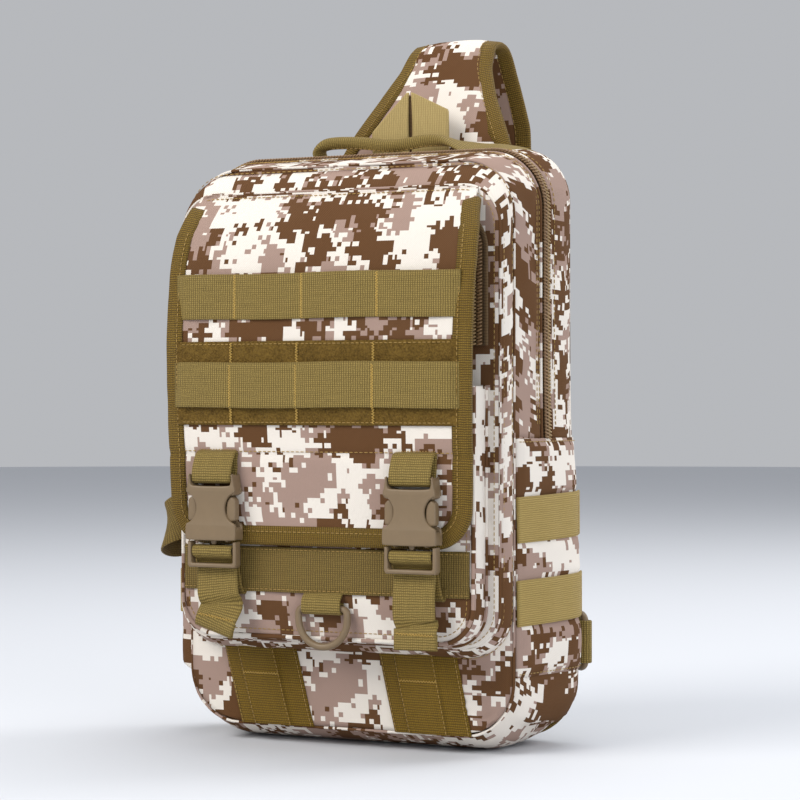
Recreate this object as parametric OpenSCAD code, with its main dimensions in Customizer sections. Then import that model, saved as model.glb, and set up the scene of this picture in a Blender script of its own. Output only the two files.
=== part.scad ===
// Sling bag with a buckled flap, three compartments, a grab handle and one padded cross-body strap.
// X is to the right, the front faces -Y, Z is up. The origin is the centre of the flat base.

/* [Main compartment] */
// Width of the main compartment
body_w = 205; // [200:1:210]
// Height of the main compartment
body_h = 330; // [326:1:336]
// Depth of the main compartment
body_d = 70; // [66:1:76]
// Radius of the body's corners, seen from the front
body_r = 32; // [28:1:36]
// Thickness of the gusset cloth with its lining
wall = 2.5; // [2:0.5:3]
// Thickness of the front and back panels
panel_t = 3; // [2:0.5:4]
// Height at which the main zipper ends on both sides
zip_end_z = 172; // [165:1:180]

/* [Front compartments] */
// Width of the organiser compartment
org_w = 196; // [192:1:198]
// Lowest edge of the organiser compartment
org_z0 = 57; // [54:1:60]
// Top edge of the organiser compartment
org_z1 = 310; // [309:1:312]
// Depth of the organiser compartment
org_d = 14; // [12:1:16]
// Height at which the organiser zipper ends
org_zip_z = 222; // [215:1:230]
// Width of the flap pocket
pocket_w = 180; // [176:1:184]
// Lowest edge of the flap pocket
pocket_z0 = 62; // [61:1:66]
// Height of the flap pocket's open mouth
pocket_z1 = 200; // [190:1:205]
// Depth of the flap pocket
pocket_d = 15; // [14:1:16]

/* [Flap and webbing] */
// Width of the flap
flap_w = 191.6; // [188:0.2:194]
// Lower edge of the flap
flap_z0 = 114.5; // [114:0.5:118]
// Upper edge of the flap, just under its hinge line
flap_z1 = 303.7; // [303:0.1:303.7]
// Thickness of the padded flap
flap_t = 3; // [2:0.5:3]
// Width of the flap's edge binding
binding_w = 12; // [9:1:14]
// Width of the webbing
web_w = 25; // [24:0.5:25.5]
// Thickness of the webbing
web_t = 1.5; // [1:0.1:1.8]
// Distance of each buckle from the middle of the bag
buckle_x = 61; // [56:1:64]
// Width of a buckle
buckle_w = 32; // [31.5:0.5:34]

/* [Sling strap] */
// Width of the strap pad where it is folded over
strap_w = 60; // [56:1:64]
// Width of the strap pad where it is sewn to the bag
strap_base_w = 114; // [100:1:118]
// Distance of the strap's centre line from the middle of the bag
strap_x = 20; // [16:1:22]
// Thickness of the strap pad
strap_t = 8; // [6:1:9]

/* [Hidden] */
$fn = 48;

camo = "#cbbcae";
khaki = "#82703c";
khaki_dark = "#6a5524";
taupe = "#786450";
brown = "#46301c";

seg = 8;                     // straight facets in each quarter-round corner
far = 500;                   // larger than the bag in every direction
half_w = body_w / 2;
y_front = -body_d / 2;       // outer face of the front panel
y_back = body_d / 2;         // outer face of the back panel
y_org = y_front - org_d;     // outer face of the organiser
y_pocket = y_org - pocket_d; // outer face of the flap pocket
skin = 2;                    // cloth thickness of the front compartments
flap_gap = 4;                // air between the pocket and the closed flap
y_flap_in = y_pocket - flap_gap;
y_flap = y_flap_in - flap_t; // outer face of the flap
org_r = 24;
pocket_r = 20;
flap_r = 20;

// ---- zippers
tape_w = 18;
tape_t = 1;
coil_w = 6;
coil_proud = 0.5;            // how far the coil stands out of the gusset
zip_gap = 10;                // slot between the two upper gusset bands
slider_l = 14;
slider_t = 1.4;
slider_air = 0.3;
slider_z = zip_end_z + 22;   // where the closed slider parks on the left side
flange_t = 0.8;
bridge_hole = 1.9;           // height of the hole under the slider's bridge
bridge_t = 1.1;
pull_pin_z = 3.2;            // the pull's cross-pin, above the slider's lower end
pull_pin_r = 0.7;
pull_eye = 3.3;              // from the pin to the solid part of the pull, which clears the bridge
pull_w = 7;
pull_l = 22;
org_pull_l = 14;
org_coil_w = 4;
org_coil_t = 1.4;
org_zip_in = 6;              // organiser zipper's distance from the compartment's edge
org_tape_w = 9;
org_slider_z = org_zip_z + 4;
org_slider_x = -org_w / 2 + org_zip_in + org_tape_w / 2;

// ---- webbing rows on the flap and pocket
row_upper_z = 237;
row_lower_z = 188.5;
loop_z0 = 179;
loop_z1 = 225;
row_half = flap_w / 2 - binding_w - 0.8;
band_z = 87.5;
fold_z = 163;                // stitched line from which the buckle loops hang

// ---- buckles
female_z0 = 115.5;
female_body_h = 29;
female_h = 37;
female_y0 = y_flap - 11;
female_y1 = y_flap - 2;
shell_t = 1.6;
window_z = [121, 136];
male_h = 14.7;
male_z0 = female_z0 - 0.3 - male_h;
male_y0 = y_flap - 9.5;
male_y1 = y_flap - 3.5;
prong_x = [8.4, 13.9];
prong_h = 22;
prong_y = [y_flap - 8.9, y_flap - 4.1];
bar_h = 4;
tail_z0_left = 66;
tail_z0_right = 58;

// ---- D-ring
ring_x = 2;
ring_z = 79.5;
ring_wire_r = 2;
ring_r = 15;
ring_leg = 6;
ring_y = y_pocket - 3.8;
tab_air = 0.3;

// ---- sides
side_z0 = 43;
side_rows_z = [71, 116];
side_half_d = 31;
side_pocket_d = 9;
side_loop_z = 106;

// ---- top
handle_x = [-52, 68];
handle_y = 20;
handle_z = 341;
handle_r = 5;
loop_x = 5;
loop_peak = 41;              // height of the hang loop's folded peak over the bag
loop_y = 29;
loop_slit = 1.2;
strap_z = body_h + 5;        // first point of the strap pad over the rear seam

// Strap pad's centre line in the (Y, Z) plane: up from the seam, over the fold, down the back.
fold_c = [79, body_h + 53];
fold_r = 12;
strap_path = concat(
  [[41, strap_z], [47, strap_z + 12], [57, strap_z + 33]],
  [for (a = [160:-20:0]) fold_c + fold_r * [cos(a), sin(a)]],
  [[95, 355], [100, 325], [102, 290], [100, 250], [95, 215], [90, 186]]);

// Loose webbing strap that bulges out on the left side, in the (X, Y) plane.
side_loop_path = [[-103.4, -33], [-113, -31.5], [-122, -24], [-127, -10], [-127, 8],
                  [-121, 23], [-112, 31.5], [-103.4, 33]];

// Lower webbing runs from the strap pad's end to the ring on the right rear tab.
web_start = [strap_x, 88, 177];
web_end = [96, 54, 72];
web_run = web_end - web_start;
web_len = norm(web_run);
adjuster_at = 30;            // distance of the adjuster from the webbing's upper end

tab_ring_x = 111;
tab_ring_y = y_back + 6;
tab_z0 = 45;
lower_ring_r = 2;

// ---------------------------------------------------------------- helpers

function corner(cx, cz, r, a0) =
  [for (i = [0:seg]) [cx + r * cos(a0 + 90 * i / seg), cz + r * sin(a0 + 90 * i / seg)]];

// Rounded rectangle, w wide and centred on X, from z0 to z1, grown outward by g.
function outline(w, z0, z1, r, g) = concat(
  corner(w / 2 - r, z0 + r, r + g, -90),
  corner(w / 2 - r, z1 - r, r + g, 0),
  corner(-w / 2 + r, z1 - r, r + g, 90),
  corner(-w / 2 + r, z0 + r, r + g, 180));

function unit(v) = v / norm(v);

// Outline of a band of thickness t that follows the 2-D points p.
function ribbon(p, t) =
  let (n = len(p),
       d = [for (i = [0:n - 1]) unit(p[min(i + 1, n - 1)] - p[max(i - 1, 0)])],
       s = [for (i = [0:n - 1]) [-d[i].y, d[i].x] * t / 2])
  concat([for (i = [0:n - 1]) p[i] + s[i]], [for (i = [n - 1:-1:0]) p[i] - s[i]]);

// Turns a 2-D shape in (X, Z) into a slab between the planes y0 and y1.
module slab(y0, y1) {
  translate([0, y1, 0])
    rotate([90, 0, 0])
      linear_extrude(y1 - y0)
        children();
}

// Box between two corners.
module box(lo, hi) {
  translate(lo)
    cube(hi - lo);
}

module frame_2d(w, z0, z1, r, g_out, g_in) {
  difference() {
    polygon(outline(w, z0, z1, r, g_out));
    polygon(outline(w, z0, z1, r, g_in));
  }
}

module between(z0, z1) {
  translate([-far / 2, z0])
    square([far, z1 - z0]);
}

// Part of the body's outline between two offsets and two heights, as a slab.
module body_hoop(y0, y1, g_out, g_in, z0, z1) {
  slab(y0, y1)
    intersection() {
      frame_2d(body_w, 0, body_h, body_r, g_out, g_in);
      between(z0, z1);
    }
}

module org_hoop(y0, y1, g_out, g_in, z0) {
  slab(y0, y1)
    intersection() {
      frame_2d(org_w, org_z0, org_z1, org_r, g_out, g_in);
      between(z0, far);
    }
}

module pocket_hoop(y0, y1, g_out, g_in) {
  slab(y0, y1)
    intersection() {
      frame_2d(pocket_w, pocket_z0, pocket_z1 + 2 * pocket_r, pocket_r, g_out, g_in);
      between(0, pocket_z1);
    }
}

// ---------------------------------------------------------------- main compartment

module front_panel() {
  color(camo)
    slab(y_front, y_front + panel_t)
      polygon(outline(body_w, 0, body_h, body_r, 0));
}

module back_panel() {
  color(camo)
    slab(y_back - panel_t, y_back)
      polygon(outline(body_w, 0, body_h, body_r, 0));
}

module lower_gusset() {
  color(camo)
    body_hoop(y_front + panel_t, y_back - panel_t, 0, -wall, -1, zip_end_z);
}

module upper_gusset_front() {
  color(camo)
    body_hoop(y_front + panel_t, -zip_gap / 2, 0, -wall, zip_end_z, far);
}

module upper_gusset_rear() {
  color(camo)
    body_hoop(zip_gap / 2, y_back - panel_t, 0, -wall, zip_end_z, far);
}

module base_board() {
  color(brown)
    box([-half_w + body_r, y_front + panel_t + 1, wall],
        [half_w - body_r, y_back - panel_t - 3, wall + 2]);
}

module inner_sleeve() {
  color(brown)
    slab(y_back - panel_t - 1.5, y_back - panel_t)
      intersection() {
        polygon(outline(body_w, 0, body_h, body_r, -wall - 3));
        between(20, 200);
      }
}

module front_piping() {
  color(camo)
    body_hoop(y_front - 3, y_front, 0, -3.5, -1, far);
}

module rear_binding() {
  color(khaki)
    body_hoop(y_back, y_back + 3, 0, -7, -1, far);
}

// Padded back with one upright air channel.
module back_pad() {
  color(brown)
    difference() {
      slab(y_back, y_back + 8)
        polygon(outline(body_w, 0, body_h, body_r, -9));
      box([-6, y_back + 4, -far], [6, y_back + 9, far]);
    }
}

// ---------------------------------------------------------------- main zipper

module main_zipper_tape() {
  color(brown)
    body_hoop(-tape_w / 2, tape_w / 2, -wall, -wall - tape_t, zip_end_z, far);
}

module main_zipper_coil() {
  color(brown)
    body_hoop(-coil_w / 2, coil_w / 2, coil_proud, -wall, zip_end_z, far);
}

// Slider for a coil that runs along Z and faces -Y; its origin is on the coil's outer face.
module zip_slider(coil) {
  half = coil / 2 + slider_air + flange_t;
  y_plate = -slider_air - slider_t;
  y_hole = y_plate - bridge_hole;
  color(taupe)
    union() {
      box([-half, y_plate, 0], [half, -slider_air, slider_l]);
      for (x = [-half, half - flange_t])
        box([x, -slider_air - 0.5, 0], [x + flange_t, 1, slider_l]);
      difference() {
        box([-1.5, y_hole - bridge_t, 1], [1.5, y_plate, slider_l - 1]);
        box([-2, y_hole, 2], [2, y_plate, slider_l - 4]);
      }
    }
}

// Pull whose cross-pin runs under the slider's bridge; in the slider's own frame.
module zip_pull(length) {
  y = -slider_air - slider_t - bridge_hole / 2;
  arm = pull_w / 2 - 1.8;
  color(khaki)
    translate([0, y, 0])
      difference() {
        union() {
          translate([-pull_w / 2, 0, pull_pin_z])
            rotate([0, 90, 0])
              cylinder(h = pull_w, r = pull_pin_r);
          for (x = [-pull_w / 2, pull_w / 2 - arm])
            box([x, -pull_pin_r, pull_pin_z - pull_eye - 0.2], [x + arm, pull_pin_r, pull_pin_z]);
          box([-pull_w / 2, -pull_pin_r, pull_pin_z - length],
              [pull_w / 2, pull_pin_r, pull_pin_z - pull_eye]);
        }
        translate([0, far / 2, pull_pin_z - length + 4])
          rotate([90, 0, 0])
            cylinder(h = far, r = 1.5);
      }
}

// The main slider parks on the left side, which faces -X.
module on_left_zip() {
  translate([-half_w - coil_proud, 0, slider_z])
    rotate([0, 0, -90])
      children();
}

module main_zipper_slider() {
  on_left_zip()
    zip_slider(coil_w);
}

module main_zipper_pull() {
  on_left_zip()
    zip_pull(pull_l);
}

// ---------------------------------------------------------------- organiser

module organiser_gusset() {
  color(camo)
    org_hoop(y_org + skin, y_front, 0, -skin, 0);
}

module organiser_front() {
  color(camo)
    slab(y_org, y_org + skin)
      polygon(outline(org_w, org_z0, org_z1, org_r, 0));
}

module organiser_piping() {
  color(camo)
    org_hoop(y_org - 2, y_org, 0, -2.8, 0);
}

module organiser_zipper_tape() {
  color(brown)
    org_hoop(y_org - tape_t, y_org, -org_zip_in, -org_zip_in - org_tape_w, org_zip_z);
}

module organiser_zipper_coil() {
  mid = -org_zip_in - org_tape_w / 2;
  color(brown)
    org_hoop(y_org - tape_t - org_coil_t, y_org - tape_t,
             mid + org_coil_w / 2, mid - org_coil_w / 2, org_zip_z);
}

module on_organiser_zip() {
  translate([org_slider_x, y_org - tape_t - org_coil_t, org_slider_z])
    children();
}

module organiser_zipper_slider() {
  on_organiser_zip()
    zip_slider(org_coil_w);
}

module organiser_zipper_pull() {
  on_organiser_zip()
    zip_pull(org_pull_l);
}

// Sewn shelf that closes the top of the flap pocket and carries the flap's hinge seam.
module flap_bridge() {
  color(camo)
    box([-78, y_flap + 0.5, flap_z1 + 0.6], [78, y_org, flap_z1 + 2.1]);
}

// ---------------------------------------------------------------- flap pocket

module pocket_gusset() {
  color(camo)
    pocket_hoop(y_pocket + skin, y_org, 0, -skin);
}

module pocket_front() {
  color(camo)
    slab(y_pocket, y_pocket + skin)
      intersection() {
        polygon(outline(pocket_w, pocket_z0, pocket_z1 + 2 * pocket_r, pocket_r, 0));
        between(0, pocket_z1);
      }
}

module pocket_piping() {
  color(camo)
    pocket_hoop(y_pocket - 0.5, y_pocket + 2.5, 2, 0);
}

module pocket_band() {
  color(khaki)
    box([-pocket_w / 2 + 2, y_pocket - web_t, band_z],
        [pocket_w / 2 - 2, y_pocket, band_z + web_w - 0.5]);
}

// Folded webbing whose lower end is a loop round the D-ring's bar.
module d_ring_tab() {
  bore = ring_wire_r + tab_air;
  color(khaki)
    difference() {
      union() {
        box([ring_x - web_w / 2, ring_y - 1, ring_z + 2], [ring_x + web_w / 2, y_pocket, band_z]);
        translate([ring_x - web_w / 2, ring_y, ring_z])
          rotate([0, 90, 0])
            cylinder(h = web_w, r = bore + 1.2);
      }
      translate([ring_x - web_w, ring_y, ring_z])
        rotate([0, 90, 0])
          cylinder(h = 2 * web_w, r = bore);
    }
}

module d_ring() {
  color(taupe)
    translate([ring_x, ring_y, ring_z])
      union() {
        translate([-ring_r, 0, 0])
          rotate([0, 90, 0])
            cylinder(h = 2 * ring_r, r = ring_wire_r);
        for (s = [-1, 1])
          translate([s * ring_r, 0, -ring_leg])
            cylinder(h = ring_leg, r = ring_wire_r);
        for (s = [-1, 1])
          translate([s * ring_r, 0, 0])
            sphere(r = ring_wire_r);
        translate([0, 0, -ring_leg])
          rotate([-90, 0, 0])
            rotate_extrude(angle = 180)
              translate([ring_r, 0])
                circle(r = ring_wire_r);
      }
}

// ---------------------------------------------------------------- flap

module flap_panel() {
  color(camo)
    slab(y_flap, y_flap_in)
      intersection() {
        polygon(outline(flap_w, flap_z0, flap_z1 + 2 * flap_r, flap_r, 0));
        between(0, flap_z1);
      }
}

module flap_binding() {
  color(khaki_dark)
    slab(y_flap - web_t, y_flap)
      intersection() {
        frame_2d(flap_w, flap_z0, flap_z1 + 2 * flap_r, flap_r, 0, -binding_w);
        between(0, flap_z1);
      }
}

module loop_field() {
  color(khaki_dark)
    box([-row_half, y_flap - 1.2, loop_z0], [row_half, y_flap, loop_z1]);
}

module molle_row_upper() {
  color(khaki)
    box([-row_half, y_flap - web_t, row_upper_z], [row_half, y_flap, row_upper_z + web_w]);
}

module molle_row_lower() {
  color(khaki)
    box([-row_half, y_flap - 1.2 - web_t, row_lower_z],
        [row_half, y_flap - 1.2, row_lower_z + web_w]);
}

// Short webbing loops, sewn on the flap, that hold the top bars of both buckles.
module buckle_loops() {
  bar_z = female_z0 + female_h - bar_h;
  color(khaki)
    for (s = [-1, 1])
      translate([s * buckle_x, 0, 0])
        union() {
          box([-web_w / 2, y_flap - 3, bar_z + bar_h + 1.5], [web_w / 2, y_flap, fold_z]);
          difference() {
            box([-web_w / 2, female_y0 + 2, bar_z - 1.7], [web_w / 2, female_y1 - 0.5, bar_z + bar_h + 1.7]);
            box([-web_w, female_y0 + 3.2, bar_z - 0.3], [web_w, female_y1 - 1.7, bar_z + bar_h + 0.3]);
          }
          box([-web_w / 2, female_y1 - 1.7, bar_z + bar_h + 0.3],
              [web_w / 2, y_flap, bar_z + bar_h + 1.7]);
        }
}

// Female half: a hollow shell, open below and at both sides, with a slotted bar on top.
module buckle_female(x) {
  half = buckle_w / 2;
  z_mid = female_z0 + female_body_h;
  z_bar = female_z0 + female_h - bar_h;
  z_top = female_z0 + female_h;
  color(taupe)
    translate([x, 0, 0])
      difference() {
        union() {
          box([-half, female_y0, female_z0], [half, female_y1, z_mid]);
          box([-half, female_y0 + 1, z_mid], [half, female_y1 - 1, z_bar]);
          box([-half, female_y0 + 3.4, z_bar], [half, female_y1 - 2.1, z_top]);
        }
        box([-half + shell_t, female_y0 + shell_t, female_z0 - 1],
            [half - shell_t, female_y1 - shell_t, z_mid - 3]);
        box([-half - 1, female_y0 + 2.2, window_z[0]], [half + 1, female_y1 - 2.2, window_z[1]]);
        box([-web_w / 2 - 0.5, female_y0 - 1, z_bar - 2.2], [web_w / 2 + 0.5, female_y1 + 1, z_bar]);
      }
}

module buckle_female_left() {
  buckle_female(-buckle_x);
}

module buckle_female_right() {
  buckle_female(buckle_x);
}

// Male half's ladder-lock frame with its two webbing slots.
module buckle_male(x) {
  half = buckle_w / 2;
  color(taupe)
    translate([x, 0, 0])
      difference() {
        box([-half, male_y0, male_z0], [half, male_y1, male_z0 + male_h]);
        for (z = [3, 8])
          box([-13, male_y0 - 1, male_z0 + z], [13, male_y1 + 1, male_z0 + z + 2.6]);
      }
}

module buckle_male_left() {
  buckle_male(-buckle_x);
}

module buckle_male_right() {
  buckle_male(buckle_x);
}

// One springy prong with its catch, on the side s of the buckle at x.
module buckle_prong(x, s) {
  z0 = male_z0 + male_h + 0.2;
  color(taupe)
    translate([x, 0, 0])
      slab(prong_y[0], prong_y[1])
        polygon([
          [s * prong_x[0], z0],
          [s * (prong_x[0] + 3), z0],
          [s * (prong_x[0] + 3.4), z0 + 8],
          [s * prong_x[1], z0 + 10],
          [s * prong_x[1], z0 + 15],
          [s * (prong_x[0] + 1.5), z0 + prong_h],
          [s * prong_x[0], z0 + prong_h - 1]]);
}

module buckle_prong_left_outer() {
  buckle_prong(-buckle_x, -1);
}

module buckle_prong_left_inner() {
  buckle_prong(-buckle_x, 1);
}

module buckle_prong_right_inner() {
  buckle_prong(buckle_x, -1);
}

module buckle_prong_right_outer() {
  buckle_prong(buckle_x, 1);
}

// Free end of the adjusting strap that hangs from a male half.
module strap_tail(x, z0) {
  color(khaki)
    box([x - web_w / 2, male_y0 + 2.5, z0], [x + web_w / 2, male_y0 + 2.5 + web_t, male_z0]);
}

module strap_tail_left() {
  strap_tail(-buckle_x, tail_z0_left);
}

module strap_tail_right() {
  strap_tail(buckle_x, tail_z0_right);
}

// Sewn ends of both adjusting straps, from the pocket's lower edge up behind the male halves.
module anchor_straps() {
  color(khaki)
    for (s = [-1, 1])
      translate([s * buckle_x, 0, 0])
        union() {
          box([-web_w / 2, y_pocket - 3, pocket_z0 + 2], [web_w / 2, y_pocket - 1.6, male_z0 - 1]);
          box([-web_w / 2, y_pocket - 2, pocket_z0 + 2], [web_w / 2, y_pocket, pocket_z0 + 9]);
        }
}

// ---------------------------------------------------------------- webbing on body and sides

// Two wide upright bands under the pocket, each with a 25 mm strip sewn over it.
module lower_webbing() {
  color(khaki)
    for (x = [-54, 46])
      translate([x, 0, 0])
        union() {
          box([-24, y_front - web_t, 8], [24, y_front, org_z0]);
          box([-web_w / 2, y_front - 2 * web_t, 8], [web_w / 2, y_front - web_t / 2, org_z0]);
        }
}

module side_panel_right() {
  color(camo)
    box([half_w, -side_half_d, side_z0], [half_w + 1.5, side_half_d, zip_end_z]);
}

// Open-topped pouch on the left side.
module side_pocket_left() {
  color(camo)
    difference() {
      box([-half_w - side_pocket_d, -29, side_z0], [-half_w, 29, zip_end_z - 8]);
      box([-half_w - side_pocket_d + 1.5, -27.5, side_z0 + 1.5], [-half_w + 1, 27.5, zip_end_z]);
    }
}

module side_webbing_right() {
  color(khaki)
    for (z = side_rows_z)
      box([half_w + 1.5, -side_half_d, z], [half_w + 1.5 + web_t, side_half_d + 3, z + web_w - 1]);
}

module side_webbing_left() {
  x = -half_w - side_pocket_d;
  color(khaki)
    box([x - web_t, -29, side_rows_z[0]], [x, 29, side_rows_z[0] + web_w - 1]);
}

// Slack compression strap that stands off the left side.
module side_loop_left() {
  color(khaki)
    translate([0, 0, side_loop_z])
      linear_extrude(web_w)
        polygon(ribbon(side_loop_path, web_t));
}

// Folded webbing tabs at the lower rear corners; the right one holds the strap's ring.
module rear_tabs() {
  color(khaki)
    for (s = [-1, 1])
      difference() {
        union() {
          box([min(s * 98, s * tab_ring_x), tab_ring_y - 2, tab_z0],
              [max(s * 98, s * tab_ring_x), tab_ring_y + 2, tab_z0 + web_w - 1]);
          box([min(s * 96, s * 101), y_back + 3, tab_z0],
              [max(s * 96, s * 101), tab_ring_y + 1, tab_z0 + web_w - 1]);
          translate([s * tab_ring_x, tab_ring_y, tab_z0])
            cylinder(h = web_w - 1, r = lower_ring_r + 1.6);
        }
        translate([s * tab_ring_x, tab_ring_y, tab_z0 - 1])
          cylinder(h = web_w + 2, r = lower_ring_r + tab_air);
      }
}

// ---------------------------------------------------------------- handle, hang loop and strap

// Rolled webbing grip with flattened ends that stand on the top of the gusset.
module grab_handle() {
  z0 = body_h + 1.2;
  color(khaki)
    union() {
      translate([handle_x[0] + 6, handle_y, handle_z])
        rotate([0, 90, 0])
          cylinder(h = handle_x[1] - handle_x[0] - 12, r = handle_r);
      for (e = [0, 1])
        slab(handle_y - 1.2, handle_y + 1.2)
          polygon([
            [handle_x[e], z0],
            [handle_x[e] + (e == 0 ? 8 : -8), z0],
            [handle_x[e] + (e == 0 ? 12 : -12), handle_z],
            [handle_x[e] + (e == 0 ? 8 : -8), handle_z + 3],
            [handle_x[e] + (e == 0 ? 2 : -2), handle_z - 1]]);
    }
}

// Webbing folded into a point: two legs side by side with a slit between them.
module hang_loop() {
  z0 = body_h + 1.2;
  color(khaki)
    slab(loop_y, loop_y + 2 * web_t)
      difference() {
        polygon([
          [loop_x - web_w, z0],
          [loop_x + web_w, z0],
          [loop_x + web_w, body_h + loop_peak - 22],
          [loop_x, body_h + loop_peak],
          [loop_x - web_w, body_h + loop_peak - 22]]);
        translate([loop_x - loop_slit / 2, 0])
          square([loop_slit, body_h + loop_peak - 6]);
      }
}

// Reinforced seam that the strap pad is sewn into.
module strap_anchor() {
  color(khaki)
    box([strap_x - strap_base_w / 2 + 6, y_back + 3, body_h - 8],
        [strap_x + strap_base_w / 2 - 6, y_back + 8, body_h]);
}

// Strap between the edges lo and hi, given as fractions of its half width from -1 to 1.
module strap_slice(lo, hi) {
  base = strap_base_w / 2;
  top = strap_w / 2;
  z_base = strap_z - 5;
  z_top = fold_c[1] + fold_r + strap_t;
  intersection() {
    translate([strap_x - base, 0, 0])
      rotate([90, 0, 90])
        linear_extrude(2 * base)
          polygon(ribbon(strap_path, strap_t));
    union() {
      slab(0, fold_c[0])
        polygon([
          [strap_x + lo * base, z_base],
          [strap_x + hi * base, z_base],
          [strap_x + hi * top, z_top],
          [strap_x + lo * top, z_top]]);
      box([strap_x + lo * top, fold_c[0], 0], [strap_x + hi * top, far, far]);
    }
  }
}

module sling_strap_pad() {
  color(camo)
    strap_slice(-0.84, 0.84);
}

module sling_strap_binding() {
  color(khaki)
    union() {
      strap_slice(-1, -0.84);
      strap_slice(0.84, 1);
    }
}

// Places a shape whose long side is +X along the lower webbing, with its thickness along Y.
module along_webbing() {
  translate(web_start)
    rotate([0, atan2(-web_run.z, web_run.x), 0])
      rotate([0, 0, asin(web_run.y / web_len)])
        children();
}

module sling_webbing() {
  color(khaki)
    along_webbing()
      box([0, -web_t / 2, -web_w / 2], [web_len, web_t / 2, web_w / 2]);
}

// Three-bar slide that the lower webbing runs through.
module strap_adjuster() {
  air = 0.6;
  color(taupe)
    along_webbing()
      translate([adjuster_at, 0, 0])
        difference() {
          box([0, -3.2, -16], [20, 3.2, 16]);
          box([-1, -web_t / 2 - air, -web_w / 2 - air], [21, web_t / 2 + air, web_w / 2 + air]);
          for (x = [3, 12])
            box([x, -4, -web_w / 2 - air], [x + 5, 4, web_w / 2 + air]);
        }
}

// Wire loop between the right rear tab and the end of the lower webbing.
module strap_lower_ring() {
  far_bar = [100, 50.5];
  z_lo = tab_z0 - 3;
  z_hi = tab_z0 + web_w + 2;
  reach = [far_bar.x - tab_ring_x, far_bar.y - tab_ring_y];
  color(taupe)
    translate([tab_ring_x, tab_ring_y, 0])
      rotate([0, 0, atan2(reach.y, reach.x)])
        union() {
          for (x = [0, norm(reach)])
            translate([x, 0, z_lo])
              cylinder(h = z_hi - z_lo, r = lower_ring_r);
          for (z = [z_lo, z_hi])
            translate([0, 0, z])
              rotate([0, 90, 0])
                cylinder(h = norm(reach), r = lower_ring_r);
          for (x = [0, norm(reach)], z = [z_lo, z_hi])
            translate([x, 0, z])
              sphere(r = lower_ring_r);
        }
}

// ---------------------------------------------------------------- nodes

front_panel();
back_panel();
lower_gusset();
upper_gusset_front();
upper_gusset_rear();
base_board();
inner_sleeve();
front_piping();
rear_binding();
back_pad();
main_zipper_tape();
main_zipper_coil();
main_zipper_slider();
main_zipper_pull();
organiser_gusset();
organiser_front();
organiser_piping();
organiser_zipper_tape();
organiser_zipper_coil();
organiser_zipper_slider();
organiser_zipper_pull();
flap_bridge();
pocket_gusset();
pocket_front();
pocket_piping();
pocket_band();
d_ring_tab();
d_ring();
flap_panel();
flap_binding();
loop_field();
molle_row_upper();
molle_row_lower();
buckle_loops();
buckle_female_left();
buckle_female_right();
buckle_male_left();
buckle_male_right();
buckle_prong_left_outer();
buckle_prong_left_inner();
buckle_prong_right_inner();
buckle_prong_right_outer();
strap_tail_left();
strap_tail_right();
anchor_straps();
lower_webbing();
side_panel_right();
side_pocket_left();
side_webbing_right();
side_webbing_left();
side_loop_left();
rear_tabs();
grab_handle();
hang_loop();
strap_anchor();
sling_strap_pad();
sling_strap_binding();
sling_webbing();
strap_adjuster();
strap_lower_ring();
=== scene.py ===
"""Sling bag in digital desert camouflage: the visual model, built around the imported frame.

Lengths inside this script are millimetres; finished meshes are scaled to metres.
X is to the right, the front faces -Y, Z is up.
"""

import math

import bpy
import numpy as np
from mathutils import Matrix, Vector, noise


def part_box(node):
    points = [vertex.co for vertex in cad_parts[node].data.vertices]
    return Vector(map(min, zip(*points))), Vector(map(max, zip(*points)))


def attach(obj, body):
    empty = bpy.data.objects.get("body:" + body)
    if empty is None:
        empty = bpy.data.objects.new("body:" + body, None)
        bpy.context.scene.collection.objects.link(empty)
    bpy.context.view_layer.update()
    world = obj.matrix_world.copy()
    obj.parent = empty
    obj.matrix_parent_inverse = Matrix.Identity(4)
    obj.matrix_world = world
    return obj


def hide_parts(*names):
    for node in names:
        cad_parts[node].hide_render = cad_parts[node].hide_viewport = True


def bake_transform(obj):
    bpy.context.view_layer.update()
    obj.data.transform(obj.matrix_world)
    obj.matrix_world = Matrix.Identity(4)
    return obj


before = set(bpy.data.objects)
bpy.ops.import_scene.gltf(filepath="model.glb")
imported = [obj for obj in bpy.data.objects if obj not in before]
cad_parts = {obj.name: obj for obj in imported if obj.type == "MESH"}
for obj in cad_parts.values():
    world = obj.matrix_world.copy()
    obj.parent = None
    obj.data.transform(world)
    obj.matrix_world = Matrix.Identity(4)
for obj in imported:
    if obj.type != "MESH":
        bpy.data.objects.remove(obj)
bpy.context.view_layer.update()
MM = 0.001
SCENE = bpy.context.scene
CLOTH_UV = "cloth"


def box_mm(node):
    """Lowest and highest corners of a CAD node, in millimetres."""
    low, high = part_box(node)
    return np.array(low) / MM, np.array(high) / MM


# ---------------------------------------------------------------- sizes read from the frame

PANEL_LO, PANEL_HI = box_mm("front_panel")
HALF_W = PANEL_HI[0]
BODY_H = PANEL_HI[2]
Y_FRONT = PANEL_LO[1]
Y_BACK = box_mm("back_panel")[1][1]
DEPTH = Y_BACK - Y_FRONT
ORG_LO, ORG_HI = box_mm("organiser_front")
Y_ORG = ORG_LO[1]
POCKET_LO, POCKET_HI = box_mm("pocket_front")
Y_POCKET = POCKET_LO[1]
FLAP_LO = box_mm("flap_panel")[0]
ZIP_END_Z = box_mm("main_zipper_coil")[0][2]
SIDE_LO, SIDE_HI = box_mm("side_panel_right")
WEB_W = 25.0
WEB_T = 1.3
BUCKLES = (("left", -61.0), ("right", 61.0))
SEAM = (3.0, 2.1, 0.26)  # pitch, length and radius of the usual stitch
RIGHT, BACK, UP = (1, 0, 0), (0, 1, 0), (0, 0, 1)


# ---------------------------------------------------------------- camera, light and floor

CAMERA_YAW = math.radians(28)
CAMERA_TURN = math.radians(1.17)
CAMERA_REACH = 1.416
CAMERA_Z = 0.1928


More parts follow.
